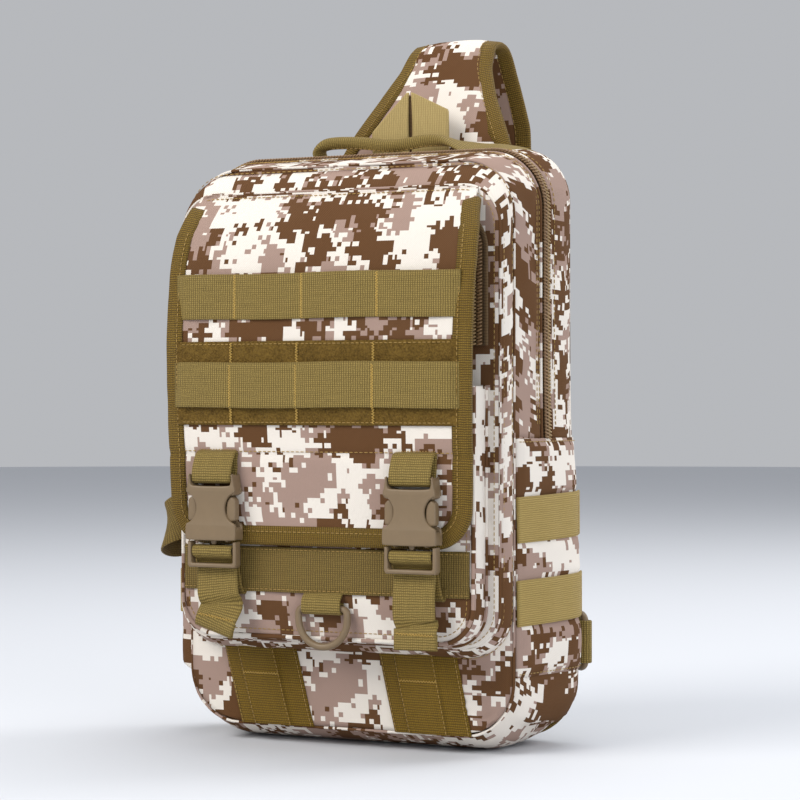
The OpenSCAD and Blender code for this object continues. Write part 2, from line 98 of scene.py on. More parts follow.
def set_stage():
    pivot = Vector((0, Y_FRONT * MM, CAMERA_Z))
    camera = bpy.data.objects.new("Camera", bpy.data.cameras.new("Camera"))
    camera.data.lens = 114.7
    camera.data.sensor_width = 36
    camera.location = pivot + CAMERA_REACH * Vector((math.sin(CAMERA_YAW), -math.cos(CAMERA_YAW), 0))
    camera.rotation_euler = (math.pi / 2, 0, CAMERA_YAW - CAMERA_TURN)
    SCENE.collection.objects.link(camera)
    SCENE.camera = camera

    for name, place, size, power, tint in (
        ("key", (-1.1, -1.9, 1.7), 1.4, 52, (1.0, 0.97, 0.92)),
        ("fill", (2.2, -1.3, 0.9), 1.8, 26, (0.93, 0.96, 1.0)),
        ("top", (0.2, 0.5, 2.2), 1.6, 26, (1.0, 1.0, 1.0)),
        ("rim", (1.4, 1.8, 1.3), 1.2, 22, (1.0, 0.98, 0.95)),
    ):
        light = bpy.data.objects.new(name, bpy.data.lights.new(name, "AREA"))
        light.data.size = size
        light.data.energy = power
        light.data.color = tint
        light.location = place
        aim = Vector((0, 0, 0.18)) - light.location
        light.rotation_euler = aim.to_track_quat("-Z", "Y").to_euler()
        SCENE.collection.objects.link(light)

    world = bpy.data.worlds.new("studio")
    world.use_nodes = True
    world.node_tree.nodes["Background"].inputs["Color"].default_value = (0.86, 0.88, 0.92, 1)
    world.node_tree.nodes["Background"].inputs["Strength"].default_value = 0.55
    SCENE.world = world
    SCENE.view_settings.view_transform = "Standard"

    ring = [(6 * math.cos(a), 6 * math.sin(a), 0) for a in np.linspace(0, 2 * math.pi, 64, endpoint=False)]
    mesh = bpy.data.meshes.new("floor")
    mesh.from_pydata(ring, [], [list(range(64))])
    floor = bpy.data.objects.new("floor", mesh)
    SCENE.collection.objects.link(floor)
    stone = Graph("floor")
    stone.shade(color=(0.62, 0.64, 0.68), rough=0.8)
    mesh.materials.append(stone.material)


# ---------------------------------------------------------------- materials


class Graph:
    """Short calls that build one material's node tree."""

    def __init__(self, name):
        self.material = bpy.data.materials.new(name)
        self.material.use_nodes = True
        self.tree = self.material.node_tree
        self.shader = self.tree.nodes["Principled BSDF"]

    def put(self, socket, value):
        if isinstance(value, bpy.types.NodeSocket):
            self.tree.links.new(value, socket)
        else:
            socket.default_value = (*value, 1) if isinstance(value, tuple) else value

    def math(self, operation, a, b=0.0, c=0.0):
        node = self.tree.nodes.new("ShaderNodeMath")
        node.operation = operation
        for socket, value in zip(node.inputs, (a, b, c)):
            self.put(socket, value)
        return node.outputs[0]

    def add(self, a, b):
        return self.math("ADD", a, b)

    def mul(self, a, b):
        return self.math("MULTIPLY", a, b)

    def mad(self, a, b, c):
        return self.math("MULTIPLY_ADD", a, b, c)

    def join(self, x, y, z=0.0):
        node = self.tree.nodes.new("ShaderNodeCombineXYZ")
        for socket, value in zip(node.inputs, (x, y, z)):
            self.put(socket, value)
        return node.outputs[0]

    def cloth(self):
        """The cloth's own coordinates: millimetres along and across the piece."""
        node = self.tree.nodes.new("ShaderNodeUVMap")
        node.uv_map = CLOTH_UV
        split = self.tree.nodes.new("ShaderNodeSeparateXYZ")
        self.put(split.inputs[0], node.outputs[0])
        return split.outputs[0], split.outputs[1]

    def place(self):
        return self.tree.nodes.new("ShaderNodeTexCoord").outputs["Object"]

    def noise(self, vector, scale, detail=2.0, rough=0.5):
        node = self.tree.nodes.new("ShaderNodeTexNoise")
        self.put(node.inputs["Vector"], vector)
        node.inputs["Scale"].default_value = scale
        node.inputs["Detail"].default_value = detail
        node.inputs["Roughness"].default_value = rough
        return node.outputs["Fac"]

    def white(self, vector):
        node = self.tree.nodes.new("ShaderNodeTexWhiteNoise")
        self.put(node.inputs["Vector"], vector)
        return node.outputs["Value"]

    def mix(self, share, a, b):
        node = self.tree.nodes.new("ShaderNodeMix")
        node.data_type = "RGBA"
        self.put(node.inputs[0], share)
        self.put(node.inputs[6], a)
        self.put(node.inputs[7], b)
        return node.outputs[2]

    def wave(self, coordinate, period, phase=0.0):
        """0 to 1 ripple along a coordinate."""
        turn = self.mad(coordinate, 2 * math.pi / period, phase)
        return self.mad(self.math("SINE", turn), 0.5, 0.5)

    def bump(self, height, strength, distance):
        node = self.tree.nodes.new("ShaderNodeBump")
        node.inputs["Strength"].default_value = strength
        node.inputs["Distance"].default_value = distance * MM
        self.put(node.inputs["Height"], height)
        return node.outputs[0]

    def shade(self, color, rough=0.8, normal=None, sheen=0.0, specular=0.4):
        self.put(self.shader.inputs["Base Color"], color)
        self.put(self.shader.inputs["Roughness"], rough)
        self.shader.inputs["Sheen Weight"].default_value = sheen
        self.shader.inputs["Sheen Roughness"].default_value = 0.5
        self.shader.inputs["Specular IOR Level"].default_value = specular
        if normal is not None:
            self.put(self.shader.inputs["Normal"], normal)
        return self.material


CAMO_CELL = 2.75


def camo_material(name, shift):
    """Three-colour digital camouflage on twill: blotches whose edges step from cell to cell."""
    g = Graph(name)
    u, v = g.cloth()
    cells = [g.math("FLOOR", g.math("DIVIDE", c, CAMO_CELL)) for c in (u, v)]
    blocks = [g.math("FLOOR", g.math("DIVIDE", c, CAMO_CELL * 2.5)) for c in (u, v)]

    def blotch(seed, size, share):
        at = g.join(g.add(cells[0], seed * 37.0 + shift), cells[1], seed)
        field = g.noise(at, 1 / size, 1.5, 0.5)
        fine = g.white(at)
        coarse = g.white(g.join(blocks[0], blocks[1], seed + 0.5))
        rag = g.add(g.mul(fine, 0.15), g.mul(coarse, 0.12))
        return g.math("GREATER_THAN", g.add(field, rag), share)

    cream = (0.79, 0.735, 0.665)
    mauve = (0.345, 0.238, 0.197)
    brown = (0.098, 0.039, 0.010)
    color = g.mix(blotch(3.0, 8.5, 0.655), cream, mauve)
    color = g.mix(blotch(11.0, 8.0, 0.672), color, brown)
    soil = g.noise(g.place(), 22, 3)
    color = g.mix(g.mul(soil, 0.07), color, (0.40, 0.31, 0.23))
    diagonal = g.add(u, v)
    twill = g.wave(diagonal, 1.15)
    yarn = g.wave(u, 0.9)
    height = g.add(twill, g.mul(yarn, 0.5))
    color = g.mix(g.mul(twill, 0.10), color, (0.20, 0.15, 0.12))
    crinkle = g.noise(g.place(), 60, 4, 0.6)
    normal = g.bump(g.add(height, g.mul(crinkle, 2.0)), 0.35, 0.35)
    return g.shade(color, 0.9, normal, sheen=0.0, specular=0.1)


def webbing_material(name, light, dark, period=1.35, depth=0.6, sharp=0.7):
    """Woven webbing: ribs across its width, and finer yarns along it."""
    g = Graph(name)
    u, v = g.cloth()
    wander = g.mul(g.noise(g.join(u, v), 0.35, 2), 0.9)
    rib = g.wave(g.add(u, wander), period)
    yarn = g.wave(g.add(v, wander), 1.15)
    weave = g.mul(g.math("POWER", rib, sharp), g.mad(yarn, 0.68, 0.32))
    patch = g.noise(g.join(g.mul(u, 0.08), v), 0.9, 3)
    tone = g.mad(weave, 0.85, g.mul(patch, 0.3))
    color = g.mix(tone, dark, light)
    normal = g.bump(weave, depth, 0.5)
    return g.shade(color, 0.68, normal, sheen=0.02, specular=0.25)


def pile_material():
    """Fuzzy loop pile."""
    g = Graph("loop_pile")
    fuzz = g.noise(g.place(), 900, 4, 0.7)
    clump = g.noise(g.place(), 160, 3, 0.6)
    tone = g.mad(fuzz, 0.8, g.mul(clump, 0.35))
    tone = g.mad(g.math("SUBTRACT", tone, 0.55), 2.2, 0.45)
    color = g.mix(tone, (0.045, 0.022, 0.003), (0.235, 0.142, 0.03))
    return g.shade(color, 0.95, g.bump(fuzz, 1.0, 1.4), sheen=0.04, specular=0.08)


def plastic_material(name, color, rough):
    """Moulded plastic with a fine matte grain and slight scuffing."""
    g = Graph(name)
    grain = g.noise(g.place(), 2200, 2)
    scuff = g.noise(g.place(), 140, 4, 0.65)
    shade = tuple(c * 0.72 for c in color)
    tint = g.mix(g.mul(scuff, 0.6), color, shade)
    gloss = g.mad(scuff, 0.22, rough - 0.1)
    return g.shade(tint, gloss, g.bump(grain, 0.12, 0.05), specular=0.45)


def thread_material(name, dark, light):
    g = Graph(name)
    tone = g.noise(g.place(), 700, 2)
    color = g.mix(tone, dark, light)
    return g.shade(color, 0.5, None, sheen=0.1, specular=0.4)


def tape_material():
    g = Graph("zipper_tape")
    rib = g.wave(g.cloth()[0], 0.8)
    color = g.mix(rib, (0.06, 0.034, 0.016), (0.16, 0.10, 0.045))
    return g.shade(color, 0.8, g.bump(rib, 0.3, 0.25), sheen=0.1, specular=0.2)


def mesh_material():
    """Spacer mesh: small open cells over foam."""
    g = Graph("back_mesh")
    u, v = g.cloth()
    row = g.math("FLOOR", g.math("DIVIDE", v, 2.2))
    offset = g.mul(g.math("MODULO", row, 2.0), 1.3)
    holes = g.mul(g.wave(g.add(u, offset), 2.6), g.wave(v, 2.2))
    tone = g.math("POWER", holes, 1.5)
    color = g.mix(tone, (0.26, 0.19, 0.075), (0.05, 0.035, 0.016))
    return g.shade(color, 0.9, g.bump(g.mul(tone, -1.0), 0.6, 0.8), sheen=0.2, specular=0.15)


def metal_material():
    g = Graph("slider_metal")
    wear = g.noise(g.place(), 300, 4, 0.6)
    color = g.mix(wear, (0.07, 0.045, 0.022), (0.22, 0.15, 0.075))
    g.shader.inputs["Metallic"].default_value = 0.6
    return g.shade(color, g.mad(wear, 0.3, 0.25), None, specular=0.5)


# every paint: a slot name, which nothing reads, and its material
PAINTS = {
    "camo": ("camo_canvas", camo_material("camo_canvas", 0.0)),
    "camo_b": ("camo_canvas", camo_material("camo_canvas_b", 531.0)),
    "camo_c": ("camo_canvas", camo_material("camo_canvas_c", 1207.0)),
    "web": ("webbing", webbing_material("webbing", (0.34, 0.243, 0.066), (0.062, 0.038, 0.006))),
    # darker copy of the same webbing: painted shade on the pocket band
    "web_mid": ("webbing", webbing_material("webbing_mid_painted_shade", (0.255, 0.172, 0.042), (0.042, 0.024, 0.003))),
    "web_side": ("webbing", webbing_material("webbing_side", (0.385, 0.275, 0.084), (0.13, 0.086, 0.018), 1.1,
                                             0.4, 0.06)),
    "web_pale": ("webbing", webbing_material("webbing_pale", (0.47, 0.355, 0.145), (0.22, 0.155, 0.05), 1.35,
                                             0.4, 0.05)),
    # darkest copy of the same webbing: painted shade on the lower front bands and strips
    "web_low_painted_shade": ("webbing", webbing_material("webbing_low_painted_shade", (0.235, 0.14, 0.008), (0.055, 0.028, 0.002))),
    # darker copy of the same webbing: painted shade on the anchor straps, the slack side strap and the
    # strap's end patch
    "web_dark": ("webbing", webbing_material("webbing_painted_shade", (0.24, 0.162, 0.036), (0.055, 0.032, 0.005))),
    "binding": ("binding", webbing_material("binding", (0.28, 0.172, 0.020), (0.036, 0.017, 0.002), 1.25, 0.9,
                                            1.0)),
    "pile": ("loop_pile", pile_material()),
    "plastic": ("buckle_plastic", plastic_material("buckle_plastic", (0.197, 0.135, 0.073), 0.45)),
    "thread": ("binding", thread_material("thread", (0.20, 0.115, 0.018), (0.46, 0.29, 0.07))),
    "thread_gold": ("binding", thread_material("thread_gold", (0.30, 0.175, 0.022), (0.62, 0.40, 0.085))),
    "tape": ("zipper_tape", tape_material()),
    "coil": ("zipper_coil", plastic_material("zipper_coil", (0.245, 0.140, 0.062), 0.42)),
    # lighter copy of the coil plastic: a painted highlight on one coil of each zipper
    "coil_painted_highlight": ("zipper_coil", plastic_material("zipper_coil_light", (0.37, 0.24, 0.105), 0.42)),
    "mesh": ("back_mesh", mesh_material()),
    "metal": ("slider_metal", metal_material()),
}


# ---------------------------------------------------------------- mesh building


class Soup:
    """Collects quads and their cloth coordinates, then makes one object of them."""

    def __init__(self):
        self.points = []
        self.faces = []
        self.uvs = []
        self.count = 0

    def grid(self, points, uv, wrap_u=False, wrap_v=False, flip=False):
        """Adds a grid of points, shape (n, m, 3), with cloth coordinates, shape (n, m, 2)."""
        points = np.asarray(points, float)
        n, m = points.shape[:2]
        base = self.count
        self.points.append(points.reshape(-1, 3))
        self.count += n * m
        uv = np.asarray(uv, float)
        for i in range(n if wrap_u else n - 1):
            for j in range(m if wrap_v else m - 1):
                i2, j2 = (i + 1) % n, (j + 1) % m
                quad = [(i, j), (i2, j), (i2, j2), (i, j2)]
                if flip:
                    quad.reverse()
                self.faces.append([base + a * m + b for a, b in quad])
                corner = [uv[a, b].copy() for a, b in quad]
                if i2 == 0 and wrap_u:
                    step = uv[n - 1, j] - uv[n - 2, j]
                    corner = [uv[n - 1, b] + step if a == 0 else uv[a, b] for a, b in quad]
                if j2 == 0 and wrap_v:
                    step = uv[i, m - 1] - uv[i, m - 2]
                    corner = [corner[k] if b != 0 else uv[a, m - 1] + step for k, (a, b) in enumerate(quad)]
                self.uvs.extend(corner)

    def cap(self, ring, uv):
        """Closes a ring of points with one face."""
        base = self.count
        self.points.append(np.asarray(ring, float))
        self.count += len(ring)
        self.faces.append([base + k for k in range(len(ring))])
        self.uvs.extend(np.asarray(uv, float))

    def make(self, name, paint, body, replaced=(), smooth=True, crease=None):
        mesh = bpy.data.meshes.new(name)
        mesh.from_pydata((np.vstack(self.points) * MM).tolist(), [], self.faces)
        layer = mesh.uv_layers.new(name=CLOTH_UV)
        layer.data.foreach_set("uv", np.asarray(self.uvs, np.float32).ravel())
        weld(mesh)
        mesh.polygons.foreach_set("use_smooth", [smooth] * len(mesh.polygons))
        if crease is not None:
            mesh.set_sharp_from_angle(angle=math.radians(crease))
        return finish_piece(name, mesh, paint, body, replaced)


def weld(mesh):
    """Joins points that lie together, so that seams between grids and caps are closed."""
    import bmesh

    work = bmesh.new()
    work.from_mesh(mesh)
    bmesh.ops.remove_doubles(work, verts=work.verts, dist=0.00002)
    bmesh.ops.recalc_face_normals(work, faces=work.faces)
    work.to_mesh(mesh)
    work.free()


def finish_piece(name, mesh, paint, body, replaced=()):
    piece = bpy.data.objects.new(name, mesh)
    SCENE.collection.objects.link(piece)
    slot_name, material = PAINTS[paint]
    mesh.materials.append(material)
    if body:
        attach(piece, body)
    if replaced:
        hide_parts(*([replaced] if isinstance(replaced, str) else replaced))
    return piece


def lengths(path):
    """Distance along a path at each of its points."""
    steps = np.linalg.norm(np.diff(path, axis=0), axis=1)
    return np.concatenate([[0.0], np.cumsum(steps)])


def blend_rows(at, knots, rows):
    """Rows read off between their knots."""
    return np.stack([np.interp(at, knots, rows[:, k]) for k in range(rows.shape[1])], axis=1)


def shares(path):
    """The share of a path's length passed at each of its points."""
    return lengths(path) / lengths(path)[-1]


def resample(path, step):
    """The same path with points about a step apart."""
    path = np.asarray(path, float)
    run = lengths(path)
    count = max(2, int(round(run[-1] / step)) + 1)
    at = np.linspace(0, run[-1], count)
    return blend_rows(at, run, path)


def smooth_path(points, step=2.0, rounds=3, closed=False):
    """Rounds the corners of a given path by cutting them, then spaces its points evenly."""
    p = np.asarray(points, float)
    for _ in range(rounds):
        a, b = (p, np.roll(p, -1, axis=0)) if closed else (p[:-1], p[1:])
        cut = np.stack([0.75 * a + 0.25 * b, 0.25 * a + 0.75 * b], axis=1).reshape(-1, p.shape[1])
        p = cut if closed else np.vstack([p[:1], cut, p[-1:]])
    if closed:
        p = np.vstack([p, p[:1]])
    return resample(p, step)


def stack(*parts):
    """Coordinates side by side in the last axis, each spread to the shape of the others."""
    return np.stack(np.broadcast_arrays(*parts), -1)


def unit(v):
    size = np.linalg.norm(v, axis=-1, keepdims=True)
    return v / np.maximum(size, 1e-9)


def tangents(path, closed=False):
    if closed:
        return unit(np.roll(path, -1, axis=0) - np.roll(path, 1, axis=0))
    return unit(np.gradient(path, axis=0))


def sweep(soup, path, side, profile, closed=False, u0=0.0, caps=True, scale=None):
    """Sweeps a closed 2-D profile along a path. side gives the profile's first axis at each point;
    its second axis is at right angles to the side and to the path."""
    path = np.asarray(path, float)
    along = tangents(path, closed)
    side = np.broadcast_to(np.asarray(side, float), path.shape)
    side = unit(side - (side * along).sum(1, keepdims=True) * along)
    up = np.cross(along, side)
    profile = np.asarray(profile, float)
    size = np.ones(len(path)) if scale is None else np.asarray(scale, float)
    points = (
        path[:, None]
        + side[:, None] * profile[None, :, :1] * size[:, None, None]
        + up[:, None] * profile[None, :, 1:] * size[:, None, None]
    )
    girth = lengths(np.vstack([profile, profile[:1]]))[:-1]
    run = lengths(path) + u0
    uv = stack(run[:, None], girth[None])
    soup.grid(points, uv, wrap_u=closed, wrap_v=True)
    if caps and not closed:
        soup.cap(points[0][::-1], profile[::-1] + [run[0], 0])
        soup.cap(points[-1], profile + [run[-1], 0])


def swept(label, path, side, profile, **how):
    """One piece swept along a path. A label is a piece's name, paint, body and replaced nodes."""
    soup = Soup()
    sweep(soup, path, side, profile, **how)
    return soup.make(*label)


def round_profile(radius, n=10, squash=1.0):
    a = np.linspace(0, 2 * math.pi, n, endpoint=False)
    return np.stack([radius * np.cos(a), radius * squash * np.sin(a)], axis=1)


def flat_profile(width, thick, edge=None, across=9):
    """Cross-section of a strap: flat faces and rounded edges, with the first axis across it."""
    edge = thick / 2 if edge is None else edge
    half = width / 2 - edge
    top = [(x, thick / 2) for x in np.linspace(half, -half, across)]
    left = [(-half - edge * math.sin(a), thick / 2 * math.cos(a)) for a in (math.pi / 4, math.pi / 2,
            3 * math.pi / 4)]
    bottom = [(x, -thick / 2) for x in np.linspace(-half, half, across)]
    right = [(half + edge * math.sin(a), -thick / 2 * math.cos(a)) for a in (math.pi / 4, math.pi / 2,
            3 * math.pi / 4)]
    return np.array(top + left + bottom + right)


def strap(label, path, side, width=WEB_W, thick=WEB_T, step=2.0):
    """A flat woven strap along a path; side points across its width."""
    return swept(label, resample(path, step), side, flat_profile(width, thick))


def capsules(soup, centres, directions, length, radius, sides=6):
    """Short rounded threads, one for each centre."""
    t = np.array([-1.0, -0.8, 0.0, 0.8, 1.0])
    r = np.array([0.25, 0.85, 1.0, 0.85, 0.25]) * radius
    for centre, direction in zip(centres, directions):
        d = np.asarray(direction, float)
        d = d / np.linalg.norm(d)
        a = np.cross(d, (0.3, 0.9, 0.31))
        a = a / np.linalg.norm(a)
        b = np.cross(d, a)
        ring = round_profile(1.0, sides)
        points = (
            np.asarray(centre)[None, None]
            + d[None, None] * (t * length / 2)[:, None, None]
            + (a[None, None] * ring[None, :, :1] + b[None, None] * ring[None, :, 1:]) * r[:, None, None]
        )
        uv = np.zeros((len(t), sides, 2))
        soup.grid(points, uv, wrap_v=True)
        soup.cap(points[0][::-1], uv[0])
        soup.cap(points[-1], uv[-1])


def stitch_line(soup, path, pitch=3.2, length=2.3, radius=0.32, lift=None):
    """A row of stitches along a path, lifted a little off the cloth."""
    path = resample(path, pitch)
    if lift is not None:
        path = path + np.asarray(lift, float)
    middle = (path[:-1] + path[1:]) / 2
    capsules(soup, middle, path[1:] - path[:-1], length, radius)


def zigzag(soup, path, side, width=2.0, pitch=1.0, radius=0.28):
    """A dense zigzag bar of thread along a path."""
    path = resample(path, pitch)
    side = np.broadcast_to(np.asarray(side, float), path.shape)
    swing = np.where(np.arange(len(path)) % 2 == 0, 0.5, -0.5)[:, None] * width
    points = path + side * swing
    middle = (points[:-1] + points[1:]) / 2
    gap = np.linalg.norm(points[1] - points[0])
    capsules(soup, middle, points[1:] - points[:-1], gap, radius, 5)


def stitches(label, *rows):
    """Rows of stitches as one piece; each row is a path with its pitch, length and radius."""
    threads = Soup()
    for row in rows:
        stitch_line(threads, *row)
    threads.make(*label)


def tack(label, *bars):
    """Zigzag bars as one piece."""
    threads = Soup()
    for bar in bars:
        zigzag(threads, *bar)
    threads.make(*label)


# ---------------------------------------------------------------- outlines and body surfaces


class Outline:
    """Rounded rectangle in (X, Z), walked by distance from its bottom centre towards +X."""

    def __init__(self, half, z0, z1, r):
        rows = []
        for cx, cz, start in (
            (half - r, z0 + r, -90),
            (half - r, z1 - r, 0),
            (-half + r, z1 - r, 90),
            (-half + r, z0 + r, 180),
        ):
            for a in np.radians(np.linspace(start, start + 90, 33)):
                rows.append((cx + r * math.cos(a), cz + r * math.sin(a), math.cos(a), math.sin(a)))
        rows = [(0, z0, 0, -1)] + rows + [(0, z0, 0, -1)]
        self.rows = np.array(rows, float)
        self.run = lengths(self.rows[:, :2])
        self.length = self.run[-1]

    def at(self, s):
        """(x, z, normal x, normal z) at the distances s."""
        s = np.mod(s, self.length)
        return tuple(np.interp(s, self.run, self.rows[:, k]) for k in range(4))


def ripple(points, size, amount, seed=0.0):
    """Smooth pseudo-random heights at points, in millimetres."""
    flat = np.asarray(points, float).reshape(-1, 3)
    out = [noise.noise(Vector((p[0] / size + seed, p[1] / size, p[2] / size))) for p in flat]
    return np.array(out).reshape(np.asarray(points).shape[:-1]) * amount


def limit(x):
    return np.clip(x, 0, 1)


def ease(x):
    """A soft step from 0 to 1."""
    x = limit(x)
    return x * x * (3 - 2 * x)


def hump(x, width, power=2):
    """A bell of height 1 over x = 0; a higher power flattens its top."""
    return np.exp(-((x / width) ** power))


BODY_R = 31.0
TOP_FRONT = BODY_H - 6.5
TOP_BACK = BODY_H + 5.5
HEM_FRONT = 10.0
# shares of the depth at which the main zipper's slit begins, has its coil, and ends
WELT_FRONT, ZIP_MIDDLE, WELT_REAR = 0.385, 0.475, 0.565


def body_half(t):
    """Half the compartment's width at the share t of its depth: it spreads towards the back."""
    return HALF_W - 1.2 + 1.6 * math.sin(math.pi * t) + 3.4 * float(ease((t - 0.5) / 0.4))


def belly(t, z):
    """How far the loaded lower part of the sides swells out."""
    corner = 3.0 * hump(z - 30, 26) * ease((t - 0.3) / 0.5)
    return 6.0 * hump(z - 92, 64) * ease(t / 0.75) * (1 - 0.25 * ease((t - 0.8) / 0.2)) + corner


def body_outline(t):
    """The main compartment's outline at the share t of its depth, 0 at the front and 1 at the back."""
    top = TOP_FRONT + (TOP_BACK - TOP_FRONT) * t**0.85
    hem = HEM_FRONT * abs(1 - 2 * t) ** 2.2 * (1.0 if t < 0.5 else 0.5)
    return Outline(body_half(t), hem, top, BODY_R)


def zip_start(outline):
    """Distance along an outline at which the zipper begins on the right."""
    straight = ZIP_END_Z - (outline.rows[:, 1].min() + BODY_R)
    return (HALF_W - BODY_R) + math.pi / 2 * BODY_R + straight


def gusset_point(outline, s, t, lift=0.0):
    """Point on the puffed gusset surface, lifted off it along its normal."""
    x, z, nx, nz = outline.at(s)
    puff = 2.6 * math.sin(math.pi * t)
    side = np.abs(nx)
    out = puff * (0.35 + 0.65 * side) + belly(t, z) * side + lift
    floor_gap = np.where(nz < -0.5, 0.0, out)
    return stack(x + nx * floor_gap, Y_FRONT + DEPTH * t, z + nz * floor_gap)


def gusset(name, t0, t1, upper, paint, rows=14, thick=1.6):
    """A band of the gusset between two depths, above or below the zipper's ends."""
    outer, inner, uv = [], [], []
    for t in np.linspace(t0, t1, rows):
        outline = body_outline(t)
        start = zip_start(outline)
        s = np.linspace(start, outline.length - start, 170) if upper else np.linspace(-start, start, 170)
        line = gusset_point(outline, s, t)
        _, _, nx, nz = outline.at(s)
        normal = stack(nx, 0, nz)
        crease = ripple(line, 26, 1.3, 4.0) + ripple(line, 9, 0.5, 9.0)
        hem = min(t - t0, t1 - t) * DEPTH
        pinch = -1.0 * math.exp(-(hem / 2.0))
        calm = np.where(nz < -0.7, 0.0, 1.0)
        line = line + normal * ((crease * min(1, hem / 6) + pinch) * calm)[:, None]
        outer.append(line)
        inner.append(line - normal * thick)
        uv.append(stack(s, Y_FRONT + DEPTH * t))
    shelled((name + "_skin", paint, "bag", name), outer, inner, uv)


def shell(soup, outer, inner, uv):
    """Closes two matching grids into one thick sheet."""
    soup.grid(outer, uv)
    soup.grid(inner, uv, flip=True)
    for a, b, w in (
        (outer[0], inner[0], uv[0]),
        (inner[-1], outer[-1], uv[-1]),
        (inner[:, 0], outer[:, 0], uv[:, 0]),
        (outer[:, -1], inner[:, -1], uv[:, -1]),
    ):
        soup.grid(np.stack([a, b], axis=1), np.stack([w, w + 0.01], axis=1))


def shelled(label, outer, inner, uv):
    """One thick sheet as a piece."""
    soup = Soup()
    shell(soup, np.array(outer), np.array(inner), np.array(uv))
    return soup.make(*label)


def face_grid(half, z0, z1, r, columns, rows):
    """(x, z) grid that fills a rounded rectangle, its rows following the outline's width."""
    bend = lambda n: (1 - np.cos(np.linspace(0, math.pi, n))) / 2
    z = z0 + (z1 - z0) * (0.5 * bend(rows) + 0.5 * np.linspace(0, 1, rows))
    low = np.clip(r - (z - z0), 0, r)
    high = np.clip(r - (z1 - z), 0, r)
    cut = r - np.sqrt(np.maximum(0, r * r - np.maximum(low, high) ** 2))
    width = half - cut
    x = np.linspace(-1, 1, columns)[None] * width[:, None]
    return x, np.broadcast_to(z[:, None], x.shape)


def panel(label, half, z0, z1, r, y_of, columns=44, rows=60, cut=None):
    """A sewn face panel whose depth is y_of(x, z), facing -Y, and open above the height of its cut."""
    x, z = face_grid(half, z0, z1, r, columns, rows)
    if cut:
        keep = z[:, 0] < cut
        x, z = x[keep], z[keep]
    outer = stack(x, y_of(x, z), z)
    return shelled(label, outer, outer + (0, 1.6, 0), stack(x, z))


def piping(label, path, radius, closed=True):
    """A round cord along a seam."""
    path = resample(path, 2.5)
    swept(label, path[:-1] if closed else path, BACK, round_profile(radius, 10), closed=closed)


# ---------------------------------------------------------------- main compartment


def body_ring(t, lift=0.0, dy=0.0, n=260):
    """Closed path round the body at a depth."""
    outline = body_outline(t)
    return gusset_point(outline, np.linspace(0, outline.length, n), t, lift) + (0, dy, 0)


def front_y(x, z):
    """The main front panel: fullest just above the hem."""
    low = np.sin(math.pi * limit((z - HEM_FRONT) / 110))
    across = 1 - (x / HALF_W) ** 4
    # slack cloth folds towards both lower corners: a ridge with a groove beside it
    along = (np.abs(x) - 72) * 0.79 - (z - 33) * 0.61
    off = (np.abs(x) - 72) * 0.61 + (z - 33) * 0.79
    fold = 1.5 * hump(off, 1.5) - 1.3 * hump(off + 3.0, 2.2)
    fold = fold * ease(along / 8) * ease((34 - along) / 10) * np.where(x > 0, 1.0, 0.5)
    return Y_FRONT - 4.0 * low * across + ripple(stack(x, 0, z), 30, 1.2, 2.0) * across + fold


def build_main_compartment():
    panel(("front_panel_skin", "camo", "bag", "front_panel"), HALF_W - 2.2, HEM_FRONT + 1, TOP_FRONT - 1,
          BODY_R, front_y)
    piping(("front_piping_cord", "camo_b", "bag", "front_piping"), body_ring(0, -0.3, 0.2), 0.8)
    gusset("lower_gusset", 0.01, 0.99, False, "camo_b", rows=30)
    gusset("upper_gusset_front", 0.01, WELT_FRONT, True, "camo_b")
    gusset("upper_gusset_rear", WELT_REAR, 0.99, True, "camo_b")


def back_y(x, z):
    """The padded back: two soft columns beside an air channel, and cross seams."""
    edge = limit((HALF_W - 9 - np.abs(x)) / 10) * limit((z - 9) / 10)
    edge = edge * limit((BODY_H - 9 - z) / 10)
    channel = 1 - 0.75 * hump(x, 6)
    seams = 1 - 0.6 * sum(hump(z - c, 3.0) for c in (90, 170, 250))
    return Y_BACK + 1.5 + 8.5 * ease(edge) * channel * seams


def build_back():
    x, z = face_grid(body_half(1.0) - 0.5, 5.5, TOP_BACK - 1, BODY_R, 44, 70)
    x = x * (1 + belly(1.0, z) / HALF_W)
    outer = stack(x, Y_BACK - 0.4, z)
    shelled(("back_panel_skin", "camo_c", "bag", "back_panel"), outer, outer - (0, 1.4, 0), stack(x, z))
    x, z = (grid[:, ::-1] for grid in face_grid(HALF_W - 9, 9, BODY_H - 6, 24, 60, 110))
    pad = shelled(("back_pad_mesh", "mesh", "bag", "back_pad"), stack(x, back_y(x, z), z),
                  stack(x, Y_BACK + 0.2, z), stack(x, z))
    ring = body_ring(1.0, -4.0, 2.0)[:-1]
    inward = unit(stack(ring[:, 0], 0, ring[:, 2] - BODY_H / 2))
    swept(("rear_binding_tape", "binding", "bag", "rear_binding"), ring, inward, round_profile(2.4, 12, 0.9),
          closed=True)


# ---------------------------------------------------------------- zippers


def upper_path(t, lift, n=400):
    """Path along the zipper at a depth, from the right end over the top to the left end."""
    outline = body_outline(t)
    start = zip_start(outline)
    s = np.linspace(start, outline.length - start, n)
    _, _, nx, nz = outline.at(s)
    normal = stack(nx, 0, nz)
    return gusset_point(outline, s, t) + normal * lift, normal


def helix(soup, path, side, up, pitch, radius, wire, sides=5, phase=0.0):
    """A coil of wire wound along a path."""
    run = lengths(path)
    n = int(run[-1] / pitch * 9)
    at = np.linspace(0, run[-1], n)
    centre = blend_rows(at, run, path)
    a, b = (unit(blend_rows(at, run, rows)) for rows in (side, up))
    turn = (2 * math.pi * at / pitch + phase)[:, None]
    wound = centre + radius * (a * np.cos(turn) + b * 0.6 * np.sin(turn))
    sweep(soup, wound, b, round_profile(wire, sides))


